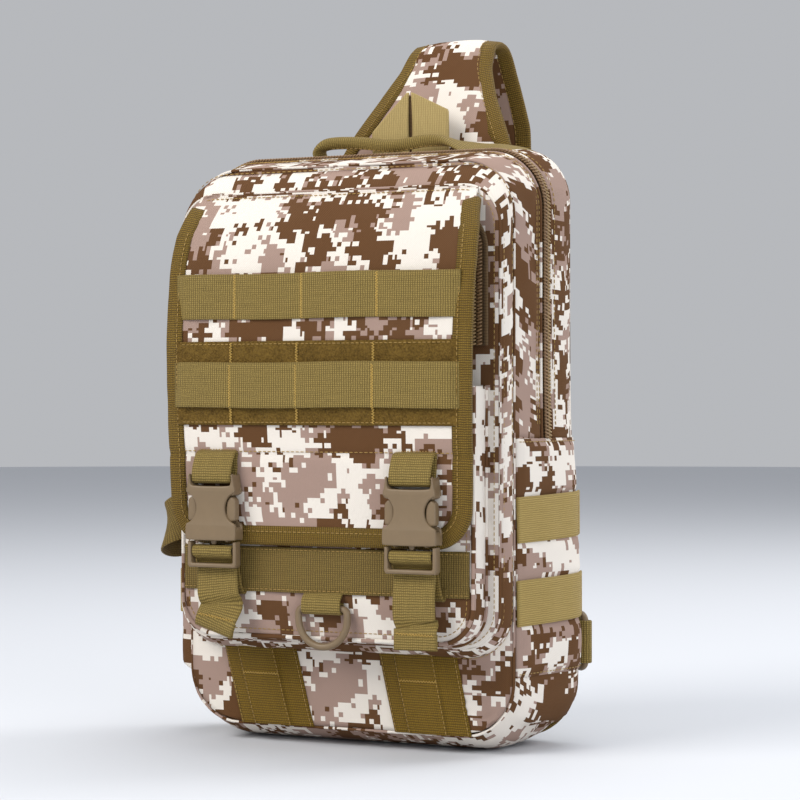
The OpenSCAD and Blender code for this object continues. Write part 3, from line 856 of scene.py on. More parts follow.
def build_main_zipper():
    half = 10.0 / DEPTH
    depths = (ZIP_MIDDLE - half, ZIP_MIDDLE, ZIP_MIDDLE + half)
    outer = np.array([upper_path(t, -1.9, 200)[0] for t in depths])
    run = lengths(outer[1])
    uv = stack(run[None], outer[:, :1, 1])
    normal = upper_path(ZIP_MIDDLE, 0, 200)[1]
    shelled(("main_zipper_cloth", "tape", "bag", "main_zipper_tape"), outer, outer - normal[None] * 0.7, uv)
    # the rear coil is painted in the lighter copy of the coil plastic, a painted highlight
    for side, paint, name, replaced in ((-1, "coil", "front", "main_zipper_coil"),
                                        (1, "coil_painted_highlight", "rear", ())):
        path, up = upper_path(ZIP_MIDDLE, 0.2)
        path = path + (0, side * 1.95, 0)
        across = np.broadcast_to(np.array([0.0, 1.0, 0.0]), path.shape)
        soup = Soup()
        helix(soup, path, across, up, 1.9, 1.55, 0.5, phase=side * math.pi / 2)
        sweep(soup, resample(path - up * 0.3, 4), BACK, round_profile(1.05, 8, 0.7))
        soup.make("main_zipper_coil_" + name, paint, "bag", replaced)
    # welts: the folded edges of the gusset on both sides of the coil, and their top-stitching
    for t, dy, name in ((WELT_FRONT, 0.2, "front"), (WELT_REAR, -0.2, "rear")):
        path, up = upper_path(t, -0.5, 180)
        swept(("zipper_welt_" + name, "camo_b", "bag"), resample(path + (0, dy, 0), 3), BACK,
              round_profile(1.0, 8))
    stitches(("zipper_topstitch", "thread", "bag"),
             *[(upper_path(t, 0.35)[0][6:-6], 3.0, 2.1, 0.28) for t in (0.34, 0.305, 0.61)])


# ---------------------------------------------------------------- organiser compartment

ORG_BASE = Outline(HALF_W - 1.6, ORG_LO[2] - 3.5, TOP_FRONT - 3.2, 25)
ORG_FACE = Outline(ORG_HI[0] + 1.6, ORG_LO[2] + 1, ORG_HI[2] - 1, 22)


def loft(label, a, b, y0, y1, puff=1.6, count=220, thick=1.4, span=(0.0, 1.0), wrinkle=0.7):
    """Band of cloth between two outlines at two depths."""
    outer, inner, uv = [], [], []
    s = np.linspace(*span, count)
    for k in np.linspace(0, 1, 9):
        pa, pb = np.array(a.at(s * a.length)), np.array(b.at(s * b.length))
        x, z, nx, nz = pa * (1 - k) + pb * k
        swell = puff * math.sin(math.pi * k)
        line = stack(x + nx * swell, y0 + (y1 - y0) * k, z + nz * swell)
        normal = stack(nx, 0, nz)
        line += normal * (ripple(line, 14, wrinkle, 3.0) * math.sin(math.pi * k))[:, None]
        outer.append(line)
        inner.append(line - normal * thick)
        uv.append(stack(s * a.length, k * abs(y1 - y0)))
    shelled(label, outer, inner, uv)


def ring_of(outline, y, lift=0.0, span=(0.0, 1.0), n=240):
    """Path along an outline at one depth, moved outwards by the lift."""
    x, z, nx, nz = outline.at(np.linspace(*span, n) * outline.length * 0.999999)
    return stack(x + nx * lift, y, z + nz * lift)


def build_organiser():
    loft(("organiser_band", "camo_b", "bag", "organiser_gusset"), ORG_BASE, ORG_FACE, Y_FRONT - 1.0,
         Y_ORG + 0.6)
    edge = lambda x, z: limit((ORG_HI[0] - np.abs(x)) / 25) * limit((ORG_HI[2] - z) / 25)
    face_y = lambda x, z: Y_ORG - 1.2 * edge(x, z) + ripple(stack(x, 0, z), 22, 0.8, 6.0) * edge(x, z)
    panel(("organiser_face", "camo", "bag", "organiser_front"), ORG_HI[0] + 1.0, ORG_LO[2] + 2,
          ORG_HI[2] - 2, 21, face_y)
    piping(("organiser_cord", "camo_b", "bag", "organiser_piping"), ring_of(ORG_FACE, Y_ORG + 0.5, -0.6), 0.8)
    stitches(("organiser_stitches", "thread", "bag"),
             (ring_of(ORG_FACE, Y_ORG - 1.35, -3.2), *SEAM),
             (ring_of(ORG_FACE, Y_ORG + 2.6, 0.75), 3.2, 2.2, 0.3),
             (ring_of(ORG_BASE, Y_FRONT - 3.0, 0.5), 3.4, 2.2, 0.26))

    # zipper: an inverted U just inside the edge, mostly under the flap
    low, high = box_mm("organiser_zipper_coil")
    x_zip, z_top, r = high[0] - 2.6, high[2] - 7.5, 20
    path2 = np.array(mirrored([(x_zip, low[2])] + arc(x_zip - r, z_top - r, r, 0, 90, 14)))
    path = resample(stack(path2[:, 0], Y_ORG - 3.0 + 1.6 * ease(-path2[:, 0] / 60), path2[:, 1]), 2.0)
    along = tangents(path)
    across = np.cross(along, BACK)
    swept(("organiser_zipper_cloth", "tape", "bag", "organiser_zipper_tape"), path + (0, 0.5, 0), across,
          flat_profile(10.5, 0.8))
    out = np.broadcast_to(np.array([0, -1.0, 0]), path.shape)
    # the inner coil is painted in the lighter copy of the coil plastic, a painted highlight
    for k, paint, name, replaced in ((-1, "coil", "outer", "organiser_zipper_coil"),
                                     (1, "coil_painted_highlight", "inner", ())):
        soup = Soup()
        helix(soup, path + across * k * 1.75 + (0, -0.7, 0), across, out, 1.9, 1.4, 0.46, 5)
        soup.make("organiser_coil_" + name, paint, "bag", replaced)
    # folded lips along both sides of the tape
    for k in (-1, 1):
        soup = Soup()
        lip = path[path[:, 2] < 291]
        for half in (lip[lip[:, 0] > 0], lip[lip[:, 0] < 0]):
            sign = np.sign(half[0, 0])
            sweep(soup, half + (k * sign * (5.9 - 0.5 * sign), 0.1, 0), RIGHT, flat_profile(2.6, 1.6))
        soup.make("organiser_zip_lip_" + ("outer" if k > 0 else "inner"), "tape", "bag")


# ---------------------------------------------------------------- flap pocket

POCKET_BASE = Outline(POCKET_HI[0] + 1.0, POCKET_LO[2] - 1, POCKET_HI[2] + 40, 20)
POCKET_FACE = Outline(POCKET_HI[0] - 0.4, POCKET_LO[2] + 0.8, POCKET_HI[2] + 40, 20)


def pocket_span(outline):
    """Share of the outline's run at which the open mouth begins."""
    x, z, _, _ = outline.at(np.linspace(0, outline.length / 2, 2000))
    k = int(np.argmax((z > POCKET_HI[2]) & (x > 50)))
    return k / 2000 / 2


def pocket_y(x, z):
    """The pocket's front: full at mid height, pulled in at its edges."""
    u = limit((POCKET_HI[0] - np.abs(x)) / 30)
    v = limit((z - POCKET_LO[2]) / 26) * limit((POCKET_HI[2] + 20 - z) / 60)
    crinkle = ripple(stack(x, 0, z), 24, 1.0, 8.0) + ripple(stack(x, 0, z), 9, 0.35, 1.0)
    return Y_POCKET + 1.6 - (3.6 * ease(u) * ease(v)) + crinkle * ease(u) * ease(v) * 0.8


def build_pocket():
    span = (-pocket_span(POCKET_BASE), pocket_span(POCKET_BASE))
    loft(("pocket_band_cloth", "camo_c", "bag", "pocket_gusset"), POCKET_BASE, POCKET_FACE, Y_ORG - 0.4,
         Y_POCKET + 1.8, 1.4, 160, 1.3, span, 1.0)
    panel(("pocket_face", "camo_b", "bag", "pocket_front"), POCKET_HI[0] - 1.2, POCKET_LO[2] + 1.6,
          POCKET_HI[2] + 40, 19, pocket_y, 60, 90, POCKET_HI[2])
    piping(("pocket_cord", "camo", "bag", "pocket_piping"), ring_of(POCKET_FACE, Y_POCKET + 1.7, 0.3, span),
           1.3, closed=False)
    swept(("pocket_seam_cord", "camo", "bag"), ring_of(POCKET_BASE, Y_ORG - 1.0, 0.6, span), BACK,
          round_profile(1.0, 8))
    line = ring_of(POCKET_FACE, 0, -3.6, span)
    line[:, 1] = pocket_y(line[:, 0], line[:, 2]) - 0.15
    stitches(("pocket_stitches", "thread", "bag"), (line, *SEAM))
    mouth = [(px, pocket_y(np.array(px), np.array(POCKET_HI[2])) + 0.8, POCKET_HI[2])
             for px in np.linspace(-88, 88, 60)]
    swept(("pocket_mouth_hem", "binding", "bag"), np.array(mouth, float), BACK, round_profile(1.7, 8, 2.2))

    low, high = box_mm("pocket_band")
    mid_z, half = (low[2] + high[2]) / 2, high[0]
    xs = np.linspace(-half, half, 110)
    path = stack(xs, pocket_y(xs, mid_z) - 1.0, mid_z)
    # painted shade: the pocket band takes a darker copy of the webbing
    strap(("pocket_webbing", "web_mid", "bag", "pocket_band"), path, UP)
    stitches(("pocket_webbing_stitches", "thread", "bag"), *[(path + (0, -0.85, dz), 2.8, 2.0, 0.27)
                                                             for dz in (-10.9, 10.9)])

    # folded tab that holds the D-ring: two layers and a round eye at the bottom
    low, high = box_mm("d_ring_tab")
    ring_low, ring_high = box_mm("d_ring")
    x_mid, eye_z, y_in = (low[0] + high[0]) / 2, ring_high[2] - 2.0, Y_POCKET - 1.6
    y_eye = (ring_low[1] + ring_high[1]) / 2
    top_z = box_mm("pocket_band")[0][2] + 3.5
    front = [(y_in + 0.2, top_z), (y_in - 0.6, top_z - 3), (y_eye - 2.7, eye_z + 5)]
    eye = [(y_eye + 2.9 * math.sin(a), eye_z + 2.9 * math.cos(a))
           for a in np.radians(np.linspace(-70, -290, 12))]
    back = [(y_in + 0.9, eye_z + 6), (y_in + 1.4, top_z)]
    path = smooth_path([(x_mid, y, z) for y, z in front + eye + back], 1.2, 2)
    strap(("d_ring_tab_webbing", "web", "bag", "d_ring_tab"), path, RIGHT, WEB_W - 1, step=1.0)
    tack(("d_ring_tab_stitches", "thread", "bag"),
         ([(x_mid + dx, y_in - 2.2, top_z - 4.6) for dx in (-10.5, 10.5)], UP, 1.2, 1.0, 0.22))


def build_d_ring():
    low, high = box_mm("d_ring")
    x_mid, y_mid, bar_z, wire = (low[0] + high[0]) / 2, (low[1] + high[1]) / 2, high[2] - 2.0, 2.0
    r = (high[0] - low[0]) / 2 - wire
    leg = bar_z - (low[2] + wire) - r
    bow = arc(x_mid, bar_z - leg, r, 0, -180, 40)
    k = 3.0
    ring = [(x_mid + r, bar_z - k), (x_mid + r, bar_z - leg)] + bow[1:-1] + [(x_mid - r, bar_z - leg),
            (x_mid - r, bar_z - k)]
    left = [(x_mid - r + k - k * math.cos(a), bar_z - k + k * math.sin(a)) for a in np.linspace(0.2,
            math.pi / 2, 5)]
    right = [(2 * x_mid - x, z) for x, z in reversed(left)]
    loop = np.array(ring + left + right)
    path = resample(np.vstack([loop, loop[:1]]), 1.5)[:-1]
    path = stack(path[:, 0], y_mid, path[:, 1])
    swept(("d_ring_wire", "plastic", "d_ring", "d_ring"), path, BACK, round_profile(wire, 14), closed=True)


# ---------------------------------------------------------------- flap

FLAP_TOP = 304.0
FLAP_PROFILE = np.array(
    [(114, 70.6), (122, 70.9), (139, 71.6), (150, 72.2), (163, 72.8), (179, 73.8), (200, 74.4), (225, 74.3),
     (247, 73.0), (262, 71.0), (274, 68.2), (284, 64.8), (292, 60.6), (299, 55.6), (304, 51.6)], float)
FLAP_R = 21.0


def flap_half(z):
    """Half the flap's width at a height."""
    z = np.asarray(z, float)
    half = np.interp(z, (115, 140, 182, 225, 247, 268, 284, 299, 304), (90.6, 91.5, 92.3, 92.6, 92.9, 93.2,
            92.2, 88.8, 87.5))
    low = np.clip(FLAP_R - (z - FLAP_LO[2]), 0, FLAP_R)
    return half - (FLAP_R - np.sqrt(np.maximum(0, FLAP_R**2 - low**2)))


def flap_y(x, z):
    """Outer face of the flap: domed, and curling back a little at its edges."""
    x, z = np.asarray(x, float), np.asarray(z, float)
    base = -np.interp(z, FLAP_PROFILE[:, 0], FLAP_PROFILE[:, 1])
    across = np.abs(x) / 95.0
    dome = np.sin(math.pi * limit((z - 114) / 190))
    y = base + 0.5 * dome * across**3.0 - 1.6 * dome * (1 - across**2)
    seam = 0.9 * hump(z - 163, 2.0)
    sag = ripple(stack(x, 0, z), 38, 1.1, 12.0)
    small = ripple(stack(x, 0, z), 13, 0.35, 5.0)
    return y + seam + (sag + small) * limit((300 - z) / 30) * 0.8


def flap_edge(inset=0.0):
    """Path down the left edge, along the bottom and up the right edge of the flap."""
    z_side = np.linspace(FLAP_TOP, FLAP_LO[2] + FLAP_R, 150)
    half = flap_half(FLAP_LO[2] + FLAP_R)
    left = [(-flap_half(z) + inset, z) for z in z_side]
    left += arc(-half + FLAP_R, FLAP_LO[2] + FLAP_R, FLAP_R - inset, 180, 270, 30)[1:-1]
    return resample(mirrored(left), 2.0)


def on_flap(path2, lift=0.0):
    """Lifts (x, z) points onto the flap's outer face."""
    path2 = np.asarray(path2, float)
    return stack(path2[:, 0], flap_y(path2[:, 0], path2[:, 1]) - lift, path2[:, 1])


def build_flap():
    z = np.concatenate([np.linspace(FLAP_LO[2] + 0.4, FLAP_LO[2] + FLAP_R, 16),
                        np.linspace(FLAP_LO[2] + FLAP_R, FLAP_TOP, 92)[1:]])
    spread = np.sin(np.linspace(-1, 1, 64) * math.pi / 2) * 0.5 + np.linspace(-1, 1, 64) * 0.5
    x = spread[None] * (flap_half(z)[:, None] - 0.8)
    zz = np.broadcast_to(z[:, None], x.shape)
    outer = stack(x, flap_y(x, zz), zz)
    # over the fold, back to the seam on the organiser's top edge
    fold = ((-50.6, 304.9), (-49.9, 305.6), (-49.4, 306.4), (-49.0, 307.2))
    outer = np.concatenate([outer, [stack(x[-1], y, z_fold) for y, z_fold in fold]])
    edge = limit((1 - np.abs(spread)) / 0.06)
    thick = np.full(outer.shape[:2], 3.0) * (0.55 + 0.45 * edge)[None]
    thick[-6:] = 1.6
    inner = outer.copy()
    hangs = np.arange(len(outer))[:, None] < len(outer) - 5
    inner[..., 1] += np.where(hangs, thick, 0)
    inner[..., 2] -= np.where(hangs, 0, thick)
    run = lengths(outer[:, 32])
    uv = stack(spread[None] * 95, run[:, None])
    piece = shelled(("flap_skin", "camo", "", ("flap_panel", "flap_bridge")), outer, inner, uv)
    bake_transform(piece)

    # edge binding, folded round the edge
    path2 = flap_edge()
    path2 = path2[path2[:, 1] < 300.6]
    path = on_flap(path2, -1.4)
    along = tangents(path)
    inward = unit(np.cross(along, BACK))
    inward *= np.sign((inward * (np.array([0, -72.0, 210]) - path)).sum(1))[:, None]
    w, out = 9.4, 2.3
    c_shape = [(w, out), (6, out + 0.15), (1, out + 0.1), (-0.9, out * 0.75), (-1.4, 0), (-0.9, -out * 0.75),
               (1, -out), (6, -out), (w, -out), (w, -out + 0.9), (1, -out + 0.9), (-0.3, -0.6), (-0.3, 0.6),
               (1, out - 0.9), (w, out - 0.9)]
    binding = swept(("flap_edge_tape", "binding", "", "flap_binding"), path, inward, c_shape)
    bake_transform(binding)
    line = flap_edge(inset=6.3)
    line = line[line[:, 1] < 288]
    # the second row is the seam above the buckle loops
    stitches(("flap_stitches", "thread", "flap"), (on_flap(line, 1.2), 2.9, 2.0, 0.27),
             (on_flap([(v, 164.6) for v in np.linspace(-84, 84, 80)], 0.15), *SEAM))

    # fuzzy field and the two load-carrying rows
    low, high = box_mm("loop_field")
    xs, zs = np.linspace(low[0] - 3.5, high[0] + 3.5, 150), np.linspace(low[2], high[2], 44)
    gx, gz = np.meshgrid(xs, zs)
    outer = stack(gx, flap_y(gx, gz) - 1.1, gz)
    outer[..., 1] -= 0.55 * np.abs(ripple(outer, 2.6, 1.0, 3.3)) + 0.1
    shelled(("loop_pile_field", "pile", "flap", "loop_field"), outer, outer + (0, 1.0, 0), stack(gx, gz))
    stitches(("loop_field_stitches", "thread", "flap"),
             *[(on_flap([(v, dz) for v in np.linspace(-83, 83, 90)], 1.5), 2.8, 2.0, 0.25)
               for dz in (low[2] + 1.6, high[2] - 1.6)])
    for name, base, tacks in (("upper", 1.0, (-49.5, -7.0, 39.0)), ("lower", 2.1, (-50.5, -9.0, 37.5))):
        low, high = box_mm("molle_row_" + name)
        mid = (low[2] + high[2]) / 2
        xs = np.linspace(low[0] - 4.5, high[0] + 4.5, 120)
        stops = np.array([low[0] - 3.5] + list(tacks) + [high[0] + 3.5])
        cell = np.clip(np.searchsorted(stops, xs) - 1, 0, len(stops) - 2)
        part = (xs - stops[cell]) / (stops[cell + 1] - stops[cell])
        bow = 1.3 * np.sin(math.pi * limit(part)) ** 0.6
        tuck = limit((np.abs(xs) - 82.5) / 3)
        path = stack(xs, flap_y(xs, mid) - base * (1 - 0.75 * tuck) - bow - 0.2 + 0.3 * tuck,
                     mid + 0.3 * np.sin(xs / 17))
        strap(("molle_webbing_" + name, "web", "flap", "molle_row_" + name), path, UP, step=1.5)
        centre, reach = (mid, 12.0) if name == "upper" else (202.0, 22.0)
        run = np.linspace(centre - reach, centre + reach, 30)
        bars = []
        for at in tacks:
            y = float(flap_y(at, mid))
            depth = np.where(np.abs(run - mid) < 12.3, y - base - 0.95, y - 1.6)
            bars.append((stack(at, depth, run), RIGHT, 1.7, 0.75, 0.24))
        tack(("molle_tacks_" + name, "thread_gold", "flap"), *bars)


# ---------------------------------------------------------------- buckles


def plate(name, loops, y0, y1, bevel, paint, body, replaced=(), shift=(0.0, 0.0)):
    """Moulded plate: closed (x, z) outlines, with holes, between two depths and with rounded edges."""
    curve = bpy.data.curves.new(name, "CURVE")
    curve.dimensions = "2D"
    curve.fill_mode = "BOTH"
    for loop in loops:
        spline = curve.splines.new("POLY")
        spline.points.add(len(loop) - 1)
        for point, (x, z) in zip(spline.points, loop):
            point.co = ((x + shift[0]) * MM, (z + shift[1]) * MM, 0, 1)
        spline.use_cyclic_u = True
    curve.extrude = (abs(y1 - y0) / 2 - bevel) * MM
    curve.bevel_depth = bevel * MM
    curve.bevel_resolution = 2
    curve.offset = -bevel * MM
    holder = bpy.data.objects.new(name + "_curve", curve)
    SCENE.collection.objects.link(holder)
    view = bpy.context.evaluated_depsgraph_get()
    mesh = bpy.data.meshes.new_from_object(holder.evaluated_get(view))
    bpy.data.objects.remove(holder)
    bpy.data.curves.remove(curve)
    mesh.name = name
    place = np.empty(len(mesh.vertices) * 3)
    mesh.vertices.foreach_get("co", place)
    place = place.reshape(-1, 3)
    place = stack(place[:, 0], (y0 + y1) / 2 * MM - place[:, 2], place[:, 1])
    mesh.vertices.foreach_set("co", place.ravel())
    weld(mesh)
    mesh.materials.clear()
    mesh.polygons.foreach_set("use_smooth", [True] * len(mesh.polygons))
    mesh.set_sharp_from_angle(angle=math.radians(35))
    return finish_piece(name, mesh, paint, body, replaced)


def arc(cx, cz, r, start, stop, n):
    """Points on a circle between two angles in degrees."""
    return [(cx + r * math.cos(a), cz + r * math.sin(a)) for a in np.radians(np.linspace(start, stop, n))]


def rounded(points, rounds=3, step=0.8):
    """Closed loop with its corners rounded."""
    return smooth_path(points, step, rounds, closed=True)[:-1]


def mirrored(points):
    """Closes a right-hand half outline with its own mirror image."""
    return list(points) + [(-x, z) for x, z in reversed(points)]


def box_loop(half, z0, z1):
    return [(-half, z0), (half, z0), (half, z1), (-half, z1)]


def slot(x0, x1, z0, z1, r=0.9):
    """Rounded rectangular hole."""
    corners = ((x1 - r, z0 + r, -90), (x1 - r, z1 - r, 0), (x0 + r, z1 - r, 90), (x0 + r, z0 + r, 180))
    return [point for cx, cz, start in corners for point in arc(cx, cz, r, start, start + 90, 5)]


def build_buckle(side, x):
    low, high = box_mm("buckle_female_" + side)
    z0, top, y0, y1 = low[2], high[2], low[1], high[1]
    mlow, mhigh = box_mm("buckle_male_" + side)
    body_top = top - 8.0
    w = high[0] - x
    female, male, body = "buckle_female_" + side, "buckle_male_" + side, "buckle_" + side

    def part(name, loop, front, back, bevel, rides="flap", replaced=()):
        plate(name, [loop], front, back, bevel, "plastic", rides, replaced, (x, 0))

    # both faces of the shell, waisted where the prongs show, with two ears beside the webbing
    waist = [(w - 0.8, z0), (w, z0 + 1.0), (w, z0 + 6.4), (w - 0.2, z0 + 8.3)]
    waist += arc(w + 2.0, z0 + 17.9, 9.0, -106, -254, 15)
    waist += [(w - 0.4, z0 + 27.2), (w - 0.5, body_top - 0.6), (w - 1.4, body_top + 2.0),
              (w - 1.8, top - 1.4),
              (w - 2.6, top), (13.6, top), (13.1, top - 1.2), (12.9, body_top + 2.2), (11.6, body_top + 0.9)]
    face = rounded(mirrored(waist), 2, 0.7)
    part(female + "_front", face, y0, y0 + 2.3, 0.8, replaced=female)
    part(female + "_back", face, y1 - 2.1, y1, 0.7)
    cheek = [(w - 2.2, z0 + 0.6), (w, z0 + 0.6), (w, z0 + 6.4), (w - 1.2, z0 + 7.6), (w - 2.2, z0 + 7.6)]
    ear = [(9.0, body_top - 3.4), (w - 0.8, body_top - 4.4), (w - 0.9, body_top), (w - 2.0, top - 0.8),
           (13.3, top - 0.8), (12.9, body_top + 1.6), (9.0, body_top + 0.4)]
    for s in (-1, 1):
        for kind, loop in (("cheek", cheek), ("ear", ear)):
            name = female + ("_l_" if s < 0 else "_r_") + kind
            part(name, rounded([(s * a, b) for a, b in loop], 1, 0.6), y0 + 1.0, y1 - 1.0, 0.4)
    part(female + "_bar", box_loop(13.6, top - 3.6, top - 0.8), y0 + 3.4, y1 - 2.4, 0.8)
    # male half: ladder frame with rounded bars
    m0, m1, my0, my1 = mlow[2], mhigh[2], mlow[1], mhigh[1]
    inside = [(-13.2, m1 - 0.3), (-13.2, m0 + 3.2), (-12.4, m0 + 2.4)]
    outside = [(w - 0.6, m1 - 0.3), (w - 0.5, m0 + 1.5), (w - 1.6, m0)]
    part(male + "_frame", mirrored(inside) + mirrored(outside), my0, my1, 1.0, body, male)
    part(male + "_bar", box_loop(13.6, m0 + 7.4, m0 + 10.2), my0 + 2.2, my1 - 0.6, 0.8, body)
    tongue = [(-2.2, m1 - 2), (2.2, m1 - 2), (2.2, m1 + 15), (1.2, m1 + 17), (-1.2, m1 + 17), (-2.2, m1 + 15)]
    part(male + "_tongue", rounded(tongue, 1, 0.6), my0 + 2.2, my1 - 2.2, 0.5, body)
    p0 = m1 - 0.4
    arm = [(8.0, p0), (10.8, p0), (11.0, p0 + 9.4), (12.2, p0 + 10.9), (13.6, p0 + 11.4),
           (w - 1.2, p0 + 11.8),
           (w - 0.8, p0 + 13.0), (w - 0.8, p0 + 22.2), (w - 1.6, p0 + 24.0), (w - 3.6, p0 + 25.2),
           (w - 5.4, p0 + 23.8), (w - 6.6, p0 + 21.0), (9.2, p0 + 15.0), (8.6, p0 + 8.0)]
    for s in (-1, 1):
        prong = "prong_" + side + ("_inner" if (s > 0) == (x < 0) else "_outer")
        loop = rounded([(s * a, b) for a, b in arm], 1, 0.5)
        part(prong + "_arm", loop, y0 + 1.5, y1 - 2.3, 1.1, prong, "buckle_" + prong)

    # webbing: the loop on the flap; the tail from the ladder and the leg behind it are made in build_tails
    bar_z = top - 2.0
    y_bar = (y0 + 3.0 + y1 - 2.0) / 2
    fy = float(flap_y(x, 163)) - 1.0
    loop = [(fy + 0.3, 164.4), (fy - 2.0, 164.0), (fy - 3.9, 161.6), (y_bar - 3.2, bar_z + 4.6),
            (y_bar - 3.6, bar_z + 0.5), (y_bar - 3.2, bar_z - 2.6), (y_bar, bar_z - 3.4),
            (y_bar + 2.6, bar_z - 2.0), (y_bar + 3.0, bar_z + 2.0), (fy + 0.7, 158), (fy + 0.9, 164)]
    path = smooth_path([(x, y, z) for y, z in loop], 1.2, 3)
    strap(("buckle_loop_" + side, "web", "flap", "buckle_loops" if x < 0 else ()), path, RIGHT, step=1.0)
    tack(("buckle_loop_tack_" + side, "thread", "flap"),
         ([(x + dx, fy + 0.1, 165.2) for dx in (-11.5, 11.5)], UP, 1.2, 0.9, 0.22))


def build_tails():
    for side, x in BUCKLES:
        mlow, mhigh = box_mm("buckle_male_" + side)
        m0, my0, my1 = mlow[2], mlow[1], mhigh[1]
        ym = (my0 + my1) / 2
        end = box_mm("strap_tail_" + side)[0][2]
        over_bar = [(0, ym + 1.4, m0 + 11.6), (0, ym - 1.0, m0 + 11.9), (0, my0 + 0.2, m0 + 10.9),
                    (0, my0 - 0.1, m0 + 8.2), (0, ym - 0.8, m0 + 5.9), (0, my1 - 0.2, m0 + 4.6),
                    (0, my1 + 0.8, m0 + 0.5)]
        if side == "left":
            tail = [(0.8, my1 - 0.8, m0 - 8), (1.8, my1 - 1.6, m0 - 16), (3.2, my1 + 1.4, m0 - 20),
                    (2.6, my1 - 3.6, m0 - 26), (0.6, my1 - 4.2, m0 - 31), (-0.6, my1 - 2.8, end - 0.5)]
            lean = [(1, 0.04, 0), (1, 0.10, -0.02), (1, 0.16, -0.12), (1, 0.04, -0.16), (1, -0.04, -0.18),
                    (1, -0.08, -0.2)]
        else:
            tail = [(0, my1 - 0.8, m0 - 10), (0.2, my1 - 1.6, m0 - 19), (0.4, my1 - 1.2, m0 - 25.5),
                    (1.0, my1 + 0.9, m0 - 27.6), (1.5, my1 - 1.6, m0 - 28.8), (1.7, my1 - 2.8, m0 - 31.5),
                    (1.8, my1 - 3.0, end + 2)]
            lean = [RIGHT, (1, 0.02, -0.01), (1, 0.02, -0.02)] + [(1, 0.02, -0.03)] * 4
        pts = np.array(over_bar + tail, float)
        lean = np.array([RIGHT] * 7 + lean, float)
        path = smooth_path(pts, 1.4, 3)
        share = shares(path)
        knot = shares(pts)
        side_v = blend_rows(share, knot, lean)
        path = path + (x, 0, 0)
        soup = Soup()
        sweep(soup, path, side_v, flat_profile(WEB_W, WEB_T, across=13))
        # hem: the end folded back on itself
        tail_dir = tangents(path)
        hem = path[share > 1 - 9.0 / lengths(path)[-1]]
        sweep(soup, hem + (0, 1.25, 0), side_v[-len(hem):], flat_profile(WEB_W, 1.1, across=13))
        soup.make("tail_webbing_" + side, "web", "buckle_" + side, "strap_tail_" + side)
        k = int(np.argmin(np.abs(share - (1 - 8.0 / lengths(path)[-1]))))
        across = unit(side_v[k])
        bar = [path[k] + across * reach + (0, -0.9, 0) for reach in (-10.8, 10.8)]
        tack(("tail_tack_" + side, "thread_gold", "buckle_" + side), (bar, tail_dir[k], 1.2, 0.9, 0.22))

        band_z = box_mm("pocket_band")[0][2]
        base_y = float(pocket_y(np.array(x), np.array(band_z)))
        turn = ((0.3, 5), (1.0, -0.8), (2.6, -2.0), (4.6, 0))
        leg = [(x + 2.6, base_y - dy, band_z + dz) for dy, dz in turn]
        leg += [(x + 1.8, base_y - 6.0, band_z + 5), (x + 0.4, my1 + 2.4, m0 + 1.5), (x, my1 + 1.0, m0 + 6.0),
                (x, ym + 2.4, m0 + 11.2), (x, ym + 1.4, m0 + 11.6)]
        path = smooth_path(leg, 1.6, 3)
        # painted shade: the anchor strap takes the darker copy of the webbing
        piece = strap(("anchor_webbing_" + side, "web_dark", "", "anchor_straps" if x < 0 else ()), path,
                      RIGHT, step=1.4)
        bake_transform(piece)


# ---------------------------------------------------------------- webbing on the body and sides


def front_band(soup, middle, zs, width, lift, thick=1.3):
    """Webbing laid flat on the front panel, its rows level and its middle line given."""
    across = np.linspace(-width / 2, width / 2, 19)
    x = middle[:, None] + across[None]
    z = np.broadcast_to(zs[:, None], x.shape)
    raised = lift * np.clip((width / 2 + 0.6 - np.abs(across)) / 1.2, 0.55, 1)
    outer = stack(x, front_y(x, z) - raised[None], z)
    shell(soup, outer, outer + (0, thick, 0), stack(z, x - middle[:, None]))


def build_lower_webbing():
    for tag, top, foot in (("left", -54.5, -44.0), ("right", 45.0, 53.0)):
        zs = np.linspace(ORG_LO[2] - 1.5, HEM_FRONT + 0.4, 40)
        drift = np.linspace(top, foot, 40)
        # painted shade: the band and the strip over it take the darkest copy of the webbing
        soup = Soup()
        front_band(soup, drift, zs, 46.5, 1.5)
        soup.make("lower_band_" + tag, "web_low_painted_shade", "bag", "lower_webbing" if tag == "left" else ())
        soup = Soup()
        front_band(soup, drift - 2.0, zs, WEB_W, 2.9)
        soup.make("lower_strip_" + tag, "web_low_painted_shade", "bag")
        for offsets, lift in (((-13.2, 9.2), 3.05), ((-22.0, 22.0), 1.6)):
            stitches(("lower_band_stitches_%s_%d" % (tag, int(offsets[1])), "thread", "bag"),
                     *[(stack(drift + dx, front_y(drift + dx, zs) - lift, zs), 2.8, 2.0, 0.22)
                       for dx in offsets])
        k = 14
        xs = np.linspace(drift[k] - 13.5, drift[k] + 9.5, 12)
        tack(("lower_band_tack_" + tag, "thread_gold", "bag"),
             (stack(xs, front_y(xs, zs[k]) - 3.1, zs[k]), UP, 1.2, 0.85, 0.22))


def side_x(y, z, lift=0.0):
    """Outer face of the puffed gusset's straight sides, as a distance from the middle."""
    y, z = np.broadcast_arrays(np.asarray(y, float), np.asarray(z, float))
    t = limit((y - Y_FRONT) / DEPTH)
    return HALF_W - 1.2 + 4.2 * np.sin(math.pi * t) + 3.4 * ease((t - 0.5) / 0.4) + belly(t, z) + lift


def side_path(sign, z, y0=-33.0, y1=34.0, lift=2.0, n=50, tilt=0.0, rise=0.0):
    ys = np.linspace(y0, y1, n)
    zs = z + tilt * (ys - y0)
    bow = rise * np.sin(math.pi * np.linspace(0, 1, n)) ** 0.7
    return stack(sign * (side_x(ys, zs, lift) + bow), ys, zs)


